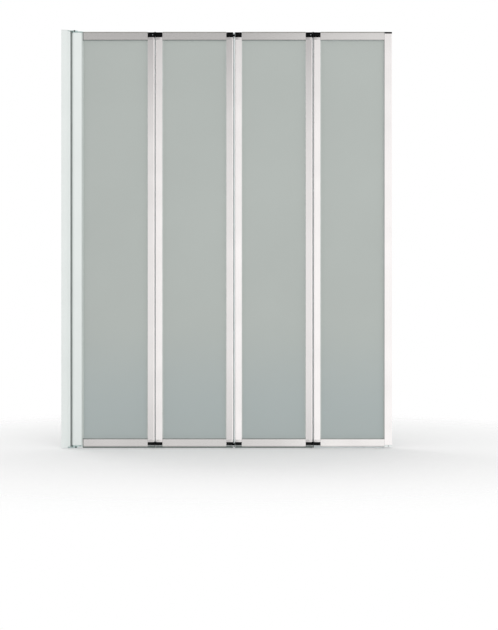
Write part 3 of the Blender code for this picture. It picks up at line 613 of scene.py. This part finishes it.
stile_low, stile_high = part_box("panel_1_right_stile")
rail_low, rail_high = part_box("panel_1_top_rail")
seal_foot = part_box("joint_12_seal")[0].z
RIB_LEVELS = {"top": (stile_high.z + rail_high.z) / 2, "bottom": (stile_low.z + seal_foot) / 2}


def stile_band(name, start, end, proud, material):
    """Solid band round the section of the first panel's right stile, between two levels."""
    joint_x = stile_high.x - SIDE_ROOM
    pane_x = stile_low.x + SIDE_ROOM
    band = start_piece(
        name,
        "cube",
        size=1,
        location=((joint_x + pane_x) / 2, 0, (start + end) / 2),
        scale=(joint_x - pane_x, 2 * (STILE_HALF + proud), end - start),
    )
    pick(band, "FACE", lambda middle, normal: normal.x < -0.9)
    narrowing = (RAIL_HALF + proud) / (STILE_HALF + proud)
    bpy.ops.transform.resize(value=(1, narrowing, 1))
    for edge_x, radius in ((joint_x, CORNER), (pane_x, PANE_CORNER)):
        pick(
            band,
            "EDGE",
            lambda middle, along: abs(along.z) > 0.9 and abs(middle.x - edge_x) < NEAR,
        )
        bpy.ops.mesh.bevel(offset=radius, segments=4)
    pick(band, "EDGE", lambda middle, along: abs(along.z) < 0.1)
    bpy.ops.mesh.bevel(offset=proud / 2, segments=1)
    finish_piece(band, "panel_1", material)
    return band


print("ribs at", RIB_LEVELS)

# %% [markdown]
# The first rib sits halfway up its block, where the halves of its mould met. The first sleeve
# reaches from the level of the rail's lower edge to just under the block.

# %% First rib and sleeve
rib_level = RIB_LEVELS["top"]
first_rib = stile_band(
    "panel_1_right_stile_top_block_rib",
    rib_level - RIB_HEIGHT / 2,
    rib_level + RIB_HEIGHT / 2,
    RIB_PROUD,
    rib_nylon,
)
first_sleeve = stile_band(
    "panel_1_right_stile_top_sleeve",
    rail_low.z,
    stile_high.z - SLEEVE_ROOM,
    SLEEVE_PROUD,
    sleeve_metal,
)

# %% [markdown]
# All twelve ribs are alike, and so are the twelve sleeves, so the others are copies, and each rides
# on its own panel. The lower sleeves are the upper ones turned over and set lower than a mirror
# would set them, because the lower blocks are shorter.

# %% Copies of the ribs and sleeves
SLEEVE_LAP = -4.8 * MM
stile_places = []
for left in (1, 2, 3):
    stile_places.append((f"panel_{left}", f"panel_{left}_right_stile", 1))
    stile_places.append((f"panel_{left + 1}", f"panel_{left + 1}_left_stile", -1))


def onto_stile(stile, side, rise=0.0):
    """Matrix from the first panel's right stile to another one, mirrored where side is -1."""
    low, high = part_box(stile)
    edge = high.x if side > 0 else low.x
    to_origin = Matrix.Translation((-stile_high.x, 0, rise))
    return Matrix.Translation((edge, 0, 0)) @ Matrix.Diagonal((side, 1, 1, 1)) @ to_origin


for body, stile, side in stile_places:
    for end, level in RIB_LEVELS.items():
        name = f"{stile}_{end}_block_rib"
        if name != first_rib.name:
            change = onto_stile(stile, side, level - rib_level)
            copy_piece(first_rib, name, change, body)
    name = f"{stile}_top_sleeve"
    if name != first_sleeve.name:
        copy_piece(first_sleeve, name, onto_stile(stile, side), body)
    upturned = onto_stile(stile, side, SLEEVE_LAP) @ Matrix.Diagonal((1, 1, -1, 1))
    copy_piece(first_sleeve, f"{stile}_bottom_sleeve", upturned, body)

# %% [markdown]
# ## Screws
# A small pan head with a recess holds each hinge block from behind. In the photo one also shows
# on the front of the first and third joints. The caps of the free stile have a larger one at top
# and bottom, and the cast cap under the first stile has two dark ones in front. A head is a disc
# with a rounded rim and a recess, so a cylinder gets a bevel, and its face is inset and pushed in.

# %% Screw heads
BLOCK_SCREW_RADIUS = 1.9 * MM
BLOCK_SCREW_HEIGHT = 0.8 * MM
BLOCK_SCREW_INSET = 5.6 * MM
# As shares of the head's height, radius and height
RIM_ROUND = 0.4
RECESS_RIM = 0.25
RECESS_DEPTH = 0.5


def pan_head(name, place, axis, radius, height, body, material):
    """Screw head that stands on the place and points along the axis."""
    outward = Vector(axis).normalized()
    top = Vector(place) + outward * height
    head = start_piece(
        name,
        "cylinder",
        vertices=28,
        radius=radius,
        depth=height,
        location=Vector(place) + outward * height / 2,
        rotation=outward.to_track_quat("Z", "Y").to_euler(),
    )
    face = top.dot(outward)
    pick(head, "EDGE", lambda middle, along: abs(middle.dot(outward) - face) < NEAR)
    bpy.ops.mesh.bevel(offset=height * RIM_ROUND, segments=3)
    pick(head, "FACE", lambda middle, normal: normal.dot(outward) > 0.98)
    bpy.ops.mesh.inset(thickness=radius * RECESS_RIM)
    push = tuple(-RECESS_DEPTH * height * outward)
    bpy.ops.mesh.extrude_region_move(TRANSFORM_OT_translate={"value": push})
    finish_piece(head, body, material)
    return head


print("screws of the blocks:", BLOCK_SCREW_RADIUS, "by", BLOCK_SCREW_HEIGHT)

# %% [markdown]
# The screws of the blocks stand on the sloped back of the stile's section, so their height on it
# comes from the slope. One is modelled and copied to each block, and mirrored to the front twice.

# %% Screws of the blocks
slope = (STILE_HALF - RAIL_HALF) / (stile_high.x - stile_low.x)
screw_x = stile_high.x - BLOCK_SCREW_INSET
screw_y = STILE_HALF - slope * BLOCK_SCREW_INSET
back_screw = pan_head(
    "panel_1_right_stile_top_block_screw",
    (screw_x, screw_y, rib_level),
    (0, 1, 0),
    BLOCK_SCREW_RADIUS,
    BLOCK_SCREW_HEIGHT,
    "panel_1",
    pin_steel,
)
for body, stile, side in stile_places:
    for end, level in RIB_LEVELS.items():
        name = f"{stile}_{end}_block_screw"
        if name != back_screw.name:
            change = onto_stile(stile, side, level - rib_level)
            copy_piece(back_screw, name, change, body)
for panel in (1, 3):
    change = onto_stile(f"panel_{panel}_right_stile", 1) @ Matrix.Diagonal((1, -1, 1, 1))
    copy_piece(back_screw, f"room_side_block_screw_{panel}", change, f"panel_{panel}")

# %% [markdown]
# The screws of the caps have sizes of their own, so they are made one by one. The front one of the
# lower end cap stands on its sloped face, and one of the two dark ones leans with the round nose.

# %% Screws of the caps
END_SCREW_RADIUS = 2.6 * MM
END_SCREW_HEIGHT = 1.1 * MM
FOOT_SCREW_RADIUS = 1.6 * MM
FOOT_SCREW_HEIGHT = 0.7 * MM
FOOT_SCREW_REACH = 18.3 * MM
FOOT_SCREW_LEAN = -6.0 * MM
FOOT_SCREW_RISE = 2.0 * MM
FRONT_SCREW_SHARE = 0.52
FRONT_SCREW_RISE = 3.4 * MM

for end, axis in (("top", 1), ("bottom", -1)):
    low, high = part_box(f"end_cap_{end}")
    place = ((low.x + high.x) / 2, 0, high.z if axis > 0 else low.z)
    name = f"end_cap_screw_{end}"
    pan_head(name, place, (0, 0, axis), END_SCREW_RADIUS, END_SCREW_HEIGHT, "panel_4", pin_steel)
low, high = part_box("end_cap_bottom")
end_x = low.x + FRONT_SCREW_SHARE * (high.x - low.x)
end_y = STILE_HALF - FRONT_SCREW_SHARE * (STILE_HALF - RAIL_HALF)
place = (end_x, -end_y, low.z + FRONT_SCREW_RISE)
pan_head(
    "end_cap_front_screw",
    place,
    (0, -1, 0),
    FOOT_SCREW_RADIUS,
    FOOT_SCREW_HEIGHT,
    "panel_4",
    pin_steel,
)
cap_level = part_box("hinge_cap_bottom")[0].z + FOOT_SCREW_RISE
lean_y = -math.sqrt(nose_radius**2 - FOOT_SCREW_LEAN**2)
foot_screws = (
    (FOOT_SCREW_LEAN, lean_y, (FOOT_SCREW_LEAN, lean_y, 0)),
    (FOOT_SCREW_REACH, -nose_radius, (0, -1, 0)),
)
for index, (shift, depth, axis) in enumerate(foot_screws, start=1):
    place = (pivot.x + shift, depth, cap_level)
    name = f"hinge_cap_screw_{index}"
    pan_head(name, place, axis, FOOT_SCREW_RADIUS, FOOT_SCREW_HEIGHT, "panel_1", dark_steel)

# %% [markdown]
# ## Rubber beads along the panes
# Where a pane meets a rail the photo shows a thin dark line, which most upright edges don't have.
# Part of it is shade under the rail, which the dark rubber of the beads paints in. Part is a bead
# that is pressed in last to wedge the pane. One strip is modelled for the first pane, which is
# wider, and one for the others, and both are copied to all rails, front and back. The last pane has
# two more along the free stile, and paler ones along its rails, where less painted shade is given.
# A cube is stretched to the strip, and its long edges are rounded into a bead.

# %% Rail beads
BEAD_HEIGHT = 1.8 * MM
BEAD_DEPTH = 1.5 * MM
BEAD_ROOM = 0.3 * MM
BEAD_ROUND = 0.45 * MM
SEAL_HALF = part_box("panel_1_glazing_seal")[1].y


def pane_bead(name, panel, low, high):
    """Bead between two corners, with its long edges rounded."""
    size = high - low
    longest = max(range(3), key=lambda axis: size[axis])
    bead = start_piece(name, "cube", size=1, location=(low + high) / 2, scale=size)
    pick(bead, "EDGE", lambda middle, along: abs(along[longest]) > 0.9)
    bpy.ops.mesh.bevel(offset=BEAD_ROUND, segments=3)
    finish_piece(bead, f"panel_{panel}", dark_epdm)
    return bead


front = -SEAL_HALF - BEAD_DEPTH
beads = {}
for panel in (1, 2):
    low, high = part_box(f"panel_{panel}_top_rail")
    corner = Vector((low.x + BEAD_ROOM, front, low.z - BEAD_HEIGHT))
    across = Vector((high.x - BEAD_ROOM, -SEAL_HALF, low.z))
    beads[panel] = pane_bead(f"panel_{panel}_top_front_bead", panel, corner, across)
for panel in (1, 2, 3, 4):
    pattern = 1 if panel == 1 else 2
    # Paler rubber on the last pane and darker rubber on the others: the darker tone is painted
    # shade under the rails
    rubber = grey_epdm if panel == 4 else dark_epdm
    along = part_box(f"panel_{panel}_top_rail")[0].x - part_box(f"panel_{pattern}_top_rail")[0].x
    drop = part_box(f"panel_{panel}_bottom_rail")[1].z - rail_low.z + BEAD_HEIGHT
    for end, rise in (("top", 0.0), ("bottom", drop)):
        for face, way in (("front", 1), ("back", -1)):
            name = f"panel_{panel}_{end}_{face}_bead"
            if name != beads[pattern].name:
                change = Matrix.Translation((along, 0, rise)) @ Matrix.Diagonal((1, way, 1, 1))
                body = f"panel_{panel}"
                copy_piece(beads[pattern], name, change, body, rubber)

# %% [markdown]
# Along the free stile the photo shows a dark line too, from rail to rail. Part of it is shade at
# the stile's edge, which the dark bead paints in. It is the same bead, a little narrower, between
# the rails' beads, so the same function makes it.

# %% Beads of the free stile
END_BEAD_WIDTH = 1.3 * MM

edge_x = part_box("panel_4_end_stile")[0].x
foot_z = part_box("panel_4_bottom_rail")[1].z + BEAD_HEIGHT
corner = Vector((edge_x - END_BEAD_WIDTH, front, foot_z))
across = Vector((edge_x, -SEAL_HALF, rail_low.z - BEAD_HEIGHT))
end_bead = pane_bead("panel_4_end_front_bead", 4, corner, across)
change = Matrix.Diagonal((1, -1, 1, 1))
copy_piece(end_bead, "panel_4_end_back_bead", change, "panel_4")

# %% [markdown]
# ## Lip of the first stile
# Along its pane edge the coated stile looks greyer in the photo, over three millimetres. Part of
# that grey is shade on the stile's rounded edge, which the grey lip paints in. Part is the soft
# seal of the first pane, which folds over the edge and hides the cut of the coat. A long cube makes
# the lip, and its two outer edges are rounded off until it lies flat on the stile.

# %% Stile lip
LIP_WIDTH = 3.4 * MM
LIP_PROUD = 0.35 * MM
LIP_SUNK = 0.5 * MM
LIP_ROOM = 0.2 * MM
LIP_ROUND = 0.15 * MM
LIP_OVERHANG = 0.1 * MM

stile_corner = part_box("panel_1_hinge_stile")[1]
lip_half = stile_corner.z - LIP_ROOM
lip = start_piece(
    "panel_1_hinge_stile_front_lip",
    "cube",
    size=1,
    location=(
        stile_corner.x + LIP_OVERHANG - LIP_WIDTH / 2,
        -RAIL_HALF - (LIP_PROUD - LIP_SUNK) / 2,
        0,
    ),
    scale=(LIP_WIDTH, LIP_PROUD + LIP_SUNK, 2 * lip_half),
)
pick(lip, "EDGE", lambda middle, along: abs(along.z) > 0.9 and middle.y < -RAIL_HALF)
bpy.ops.mesh.bevel(offset=LIP_ROUND, segments=3)
# The lip's pale grey over the white coat is partly painted shade of the rounded edge
finish_piece(lip, "panel_1", glazing_pvc)
change = Matrix.Diagonal((1, -1, 1, 1))
copy_piece(lip, "panel_1_hinge_stile_back_lip", change, "panel_1")

# %% [markdown]
# ## Gaskets of the first rails
# The first stile is coated and the rails are bright metal, so a rubber gasket keeps them apart. It
# shows as a thin dark line at the left end of both rails. It is a band a hair proud of the rail on
# all sides: a cube with its long edges rounded like the rail's own.

# %% Rail gaskets
GASKET_WIDTH = 2.0 * MM
GASKET_PLACE = 0.7 * MM
GASKET_PROUD = 0.12 * MM
GASKET_ROUND = 0.5 * MM

rail_middle = (rail_low + rail_high) / 2
rail_gasket = start_piece(
    "panel_1_top_rail_gasket",
    "cube",
    size=1,
    location=(rail_low.x + GASKET_PLACE + GASKET_WIDTH / 2, 0, rail_middle.z),
    scale=(
        GASKET_WIDTH,
        2 * (RAIL_HALF + GASKET_PROUD),
        rail_high.z - rail_low.z + 2 * GASKET_PROUD,
    ),
)
pick(rail_gasket, "EDGE", lambda middle, along: abs(along.x) > 0.9)
bpy.ops.mesh.bevel(offset=GASKET_ROUND, segments=3)
finish_piece(rail_gasket, "panel_1", dark_epdm)
low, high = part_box("panel_1_bottom_rail")
change = Matrix.Translation((0, 0, (low.z + high.z) / 2 - rail_middle.z))
copy_piece(rail_gasket, "panel_1_bottom_rail_gasket", change, "panel_1")

# %% [markdown]
# ## Covers of the upper rails
# Upper and lower rails are cut from the same extrusion, which has a slot for the wiping seal along
# its foot. Turned up, the slot would hold water, so a strip of soft PVC covers it, and shows as a
# thin line along the top. A flat cube would look like a plank. The strip is crowned, so its top is
# cut along the middle and the new edge is raised, and the long edges are rounded.

# %% Rail covers
COVER_HEIGHT = 1.7 * MM
COVER_HALF = 7.6 * MM
COVER_CROWN = 0.4 * MM
COVER_ROUND = 0.4 * MM


def rail_cover(name, panel):
    """Crowned strip on a panel's top rail."""
    low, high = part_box(f"panel_{panel}_top_rail")
    middle_x = (low.x + high.x) / 2
    cover = start_piece(
        name,
        "cube",
        size=1,
        location=(middle_x, 0, high.z + COVER_HEIGHT / 2),
        scale=(high.x - low.x - 2 * BEAD_ROOM, 2 * COVER_HALF, COVER_HEIGHT),
    )
    pick(cover, "FACE", lambda middle, normal: normal.z > 0.9)
    bpy.ops.mesh.bisect(plane_co=(middle_x, 0, high.z), plane_no=(0, 1, 0))
    top = high.z + COVER_HEIGHT

    def on_ridge(middle, along):
        """Whether an edge is the new one along the middle of the top."""
        return abs(middle.z - top) < NEAR and abs(middle.y) < NEAR and abs(along.x) > 0.9

    def on_side(middle, along):
        """Whether an edge is one of the long outer ones."""
        return abs(along.x) > 0.9 and abs(middle.y) > COVER_HALF / 2

    pick(cover, "EDGE", on_ridge)
    bpy.ops.transform.translate(value=(0, 0, COVER_CROWN))
    pick(cover, "EDGE", on_side)
    bpy.ops.mesh.bevel(offset=COVER_ROUND, segments=2)
    finish_piece(cover, f"panel_{panel}", cover_pvc)
    return cover


rail_cover("panel_1_top_rail_cover", 1)
second_cover = rail_cover("panel_2_top_rail_cover", 2)
for panel in (3, 4):
    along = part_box(f"panel_{panel}_top_rail")[0].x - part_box("panel_2_top_rail")[0].x
    change = Matrix.Translation((along, 0, 0))
    name = f"panel_{panel}_top_rail_cover"
    copy_piece(second_cover, name, change, f"panel_{panel}")

# %% [markdown]
# ## Feet of the hinge pins
# Below each lower hinge a rubber foot is pushed onto the pin. It closes the gap between the wiping
# seals of two panels, so that water stays in, and turns with the pin, so it never rubs when the
# screen folds. Such feet are moulded with a groove, at which the rubber bends. So a short cylinder
# gets its lower face inset and pushed down for the groove, then widened again.

# %% Pin feet
FOOT_RADIUS = 2.1 * MM
FOOT_COLLAR = 2.6 * MM
FOOT_GROOVE = 0.5 * MM
FOOT_TAIL = 3.9 * MM
FOOT_ROUND = 0.6 * MM
GROOVE_DEPTH = 0.35 * MM

pin_low, pin_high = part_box("hinge_12_bottom_pin")
axis_place = (pin_low + pin_high) / 2
foot = start_piece(
    "hinge_12_pin_foot",
    "cylinder",
    vertices=32,
    radius=FOOT_RADIUS,
    depth=FOOT_COLLAR,
    location=(axis_place.x, axis_place.y, pin_low.z - FOOT_COLLAR / 2),
)
pick(foot, "FACE", lambda middle, normal: normal.z < -0.9)
bpy.ops.mesh.inset(thickness=GROOVE_DEPTH)
bpy.ops.mesh.extrude_region_move(TRANSFORM_OT_translate={"value": (0, 0, -FOOT_GROOVE)})
bpy.ops.mesh.extrude_region_move(TRANSFORM_OT_translate={"value": (0, 0, 0)})
widening = FOOT_RADIUS / (FOOT_RADIUS - GROOVE_DEPTH)
bpy.ops.transform.resize(value=(widening, widening, 1))
bpy.ops.mesh.extrude_region_move(TRANSFORM_OT_translate={"value": (0, 0, -FOOT_TAIL)})
foot_level = pin_low.z - FOOT_COLLAR - FOOT_GROOVE - FOOT_TAIL
pick(foot, "EDGE", lambda middle, along: abs(middle.z - foot_level) < NEAR)
bpy.ops.mesh.bevel(offset=FOOT_ROUND, segments=3)
finish_piece(foot, "panel_1", dark_epdm)
for body, joint in (("panel_2", "hinge_23"), ("panel_3", "hinge_34")):
    low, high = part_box(f"{joint}_bottom_pin")
    change = Matrix.Translation((low + high) / 2 - axis_place)
    copy_piece(foot, f"{joint}_pin_foot", change, body)

# %% [markdown]
# ## Tongues of the middle joint
# The pins of the middle joint lie at the back, so its gap is open to the front. In the photo a
# black tongue crosses it between the blocks, above and below, and holds the end of the sealing
# strip. It is part of the left block and stops just short of the right one. A cube is drawn
# in towards its free end, and its edges are rounded, so it looks moulded.

# %% Joint tongues
TONGUE_HEIGHT = 6.4 * MM
TONGUE_DEPTH = 2.1 * MM
TONGUE_ROOT = 1.6 * MM
TONGUE_GAP = 0.8 * MM
TONGUE_ROOM = 0.2 * MM
TONGUE_TAPER = (1, 0.8, 0.85)
TONGUE_ROUND = 0.35 * MM
TONGUE_LEVELS = (681.2 * MM, -687.2 * MM)

seal_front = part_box("joint_23_seal")[0].y - TONGUE_ROOM
tongue_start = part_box("panel_2_right_stile")[1].x - TONGUE_ROOT
tongue_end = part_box("panel_3_left_stile")[0].x - TONGUE_GAP
tongue = start_piece(
    "joint_23_top_tongue",
    "cube",
    size=1,
    location=((tongue_start + tongue_end) / 2, seal_front - TONGUE_DEPTH / 2, TONGUE_LEVELS[0]),
    scale=(tongue_end - tongue_start, TONGUE_DEPTH, TONGUE_HEIGHT),
)
pick(tongue, "FACE", lambda middle, normal: normal.x > 0.9)
bpy.ops.transform.resize(value=TONGUE_TAPER)
pick(tongue, "EDGE", lambda middle, along: middle.x > tongue_start + NEAR)
bpy.ops.mesh.bevel(offset=TONGUE_ROUND, segments=2)
finish_piece(tongue, "panel_2", black_nylon)
change = Matrix.Translation((0, 0, TONGUE_LEVELS[1] - TONGUE_LEVELS[0]))
copy_piece(tongue, "joint_23_bottom_tongue", change, "panel_2")

# %% [markdown]
# ## Backing fin of the middle joint
# The middle joint is wider, because its panels fold the other way, and its strip covers only the
# near part of the gap. A soft fin on the second panel covers the rest from behind. It is a long
# thin box whose free edge is drawn to a lip, with its edges rounded off.

# %% Backing fin
FIN_REACH = 2.6 * MM
FIN_THICKNESS = 1.4 * MM
FIN_LIP = 0.7 * MM
FIN_PLACE = 4.2 * MM
FIN_ROUND = 0.25 * MM

low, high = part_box("panel_2_right_stile")
fin_low, fin_high = (corner.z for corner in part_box("joint_23_seal"))
fin = start_piece(
    "joint_23_backing_fin",
    "cube",
    size=1,
    location=(high.x + FIN_REACH / 2, FIN_PLACE, (fin_low + fin_high) / 2),
    scale=(FIN_REACH, FIN_THICKNESS, fin_high - fin_low),
)
pick(fin, "FACE", lambda middle, normal: normal.x > 0.9)
bpy.ops.transform.resize(value=(1, FIN_LIP / FIN_THICKNESS, 1))
pick(fin, "EDGE", lambda middle, along: abs(along.z) > 0.9)
bpy.ops.mesh.bevel(offset=FIN_ROUND, segments=3)
finish_piece(fin, "panel_2", milky_pvc)

# %% [markdown]
# ## Floor
# A pale disc lies where the screen stands and keeps the contact shadow. A plane would end in a hard
# line, so the disc fades out towards its edge. It stays out of reflections, where it would darken
# the lower rails.

# %% Floor
FLOOR_RADIUS = 1.6
FLOOR_MIDDLE = 0.55
FLOOR_DROP = 0.5 * MM
FADE_RANGE = (0.35, 0.98)

floor_level = CAD_BOX[0][2] - FLOOR_DROP
bpy.ops.object.select_all(action="DESELECT")
bpy.ops.mesh.primitive_circle_add(
    vertices=96, radius=FLOOR_RADIUS, fill_type="NGON", location=(FLOOR_MIDDLE, 0, floor_level)
)
floor = bpy.context.active_object
floor.name = "floor"
floor.visible_glossy = False
floor_paint, tree, shader, place = start_material("floor_paint")
shader.inputs["Base Color"].default_value = linear("#f4f4f4")
shader.inputs["Roughness"].default_value = 0.9
shader.inputs["Specular IOR Level"].default_value = 0.0
distance = add(tree, "VectorMath", {}, {0: place}, operation="LENGTH").outputs["Value"]
share = add(tree, "Math", {1: FLOOR_RADIUS}, {0: distance}, operation="DIVIDE").outputs[0]
fade = add(tree, "ValToRGB", {}, {"Fac": share}, between(grey(1.0), grey(0.0), *FADE_RANGE))
tree.links.new(fade.outputs[0], shader.inputs["Alpha"])
floor.data.materials.append(floor_paint)
print("floor at", floor_level)

# %% [markdown]
# ## Light
# The world is plain white for the camera. For everything else it is a soft studio, white level with
# the eye and dimmer above and below, which is what polished metal needs: an even white would leave
# it without any form. The studio's right half is whiter and taller than its left, so faces that
# lean to either side part in tone. Lamps could do the same, but would need many flags and screens,
# while four ramps over the direction of the ray say it in a few numbers.

# %% World
DIFFUSE_LEVEL = 0.84
# Degrees above level, and how white the studio is there
LEFT_HALF = [
    (-90, 0.45), (-30, 0.45), (-12, 0.50), (-7, 0.55), (-5.5, 0.64), (-4, 0.82), (-2, 0.86),
    (2, 0.85), (6, 0.79), (8, 0.70), (9.3, 0.47), (10.3, 0.34), (14, 0.28), (30, 0.35), (90, 0.6),
]
RIGHT_HALF = [
    (-90, 0.6), (-30, 0.62), (-14, 0.90), (-8, 1.0), (3, 1.0), (6.5, 0.98), (8, 0.90),
    (9.5, 0.74), (11, 0.62), (14, 0.48), (30, 0.42), (90, 0.6),
]
# Degrees to the right of straight ahead, and the share of the right half, then of plain white
HALVES_MEET = [(-90, 1.0), (-32, 1.0), (-17, 0.0), (0.9, 0.0), (2.5, 1.0), (90, 1.0)]
WHITE_SIDE = [(-90, 0.0), (9.0, 0.0), (10.5, 0.7), (90, 0.7)]
PROFILES = {
    "left": ("Z", LEFT_HALF),
    "right": ("Z", RIGHT_HALF),
    "meet": ("X", HALVES_MEET),
    "white": ("X", WHITE_SIDE),
}

world = bpy.data.worlds.new("studio")
scene.world = world
world.use_nodes = True
tree = world.node_tree
direction = add(tree, "TexCoord").outputs["Generated"]
axes = add(tree, "SeparateXYZ", {}, {0: direction}).outputs
glow = {}
for part, (axis, profile) in PROFILES.items():
    share = add(tree, "Math", {1: 0.5, 2: 0.5}, {0: axes[axis]}, operation="MULTIPLY_ADD")
    stops = [(math.sin(math.radians(angle)) / 2 + 0.5, grey(level)) for angle, level in profile]
    glow[part] = add(tree, "ValToRGB", {}, {"Fac": share.outputs[0]}, stops).outputs[0]
links = {"Factor": glow["meet"], 6: glow["left"], 7: glow["right"]}
halves = add(tree, "Mix", {}, links, data_type="RGBA").outputs[2]
links = {"Factor": glow["white"], 6: halves}
studio = add(tree, "Mix", {7: grey(1.0)}, links, data_type="RGBA").outputs[2]
rays = add(tree, "LightPath").outputs
links = {"Factor": rays["Is Glossy Ray"], 7: studio}
lit = add(tree, "Mix", {6: grey(DIFFUSE_LEVEL)}, links, data_type="RGBA").outputs[2]
links = {0: rays["Is Camera Ray"], 1: rays["Is Transmission Ray"]}
seen = add(tree, "Math", {}, links, operation="MAXIMUM").outputs[0]
colour = add(tree, "Mix", {7: grey(1.0)}, {"Factor": seen, 6: lit}, data_type="RGBA").outputs[2]
tree.links.new(colour, tree.nodes["Background"].inputs["Color"])
print("world", world.name)

# %% [markdown]
# Two large square lamps give the shadows a direction. They stay out of reflections, where they
# would burn white patches into the polished stiles.

# %% Lamps
AIM = Vector((0.55, 0, 0))


def soft_lamp(name, place, size, power):
    """Square lamp turned to the middle of the screen."""
    data = bpy.data.lights.new(name, "AREA")
    data.shape = "SQUARE"
    data.size = size
    data.energy = power
    lamp = bpy.data.objects.new(name, data)
    lamp.location = place
    lamp.rotation_euler = (AIM - Vector(place)).to_track_quat("-Z", "Y").to_euler()
    lamp.visible_camera = False
    lamp.visible_glossy = False
    scene.collection.objects.link(lamp)
    print(name, place, power, "W")


soft_lamp("key", (1.5, -3.7, 0.6), size=2.2, power=42)
soft_lamp("fill", (-2.0, 2.8, 2.2), size=2.0, power=25)
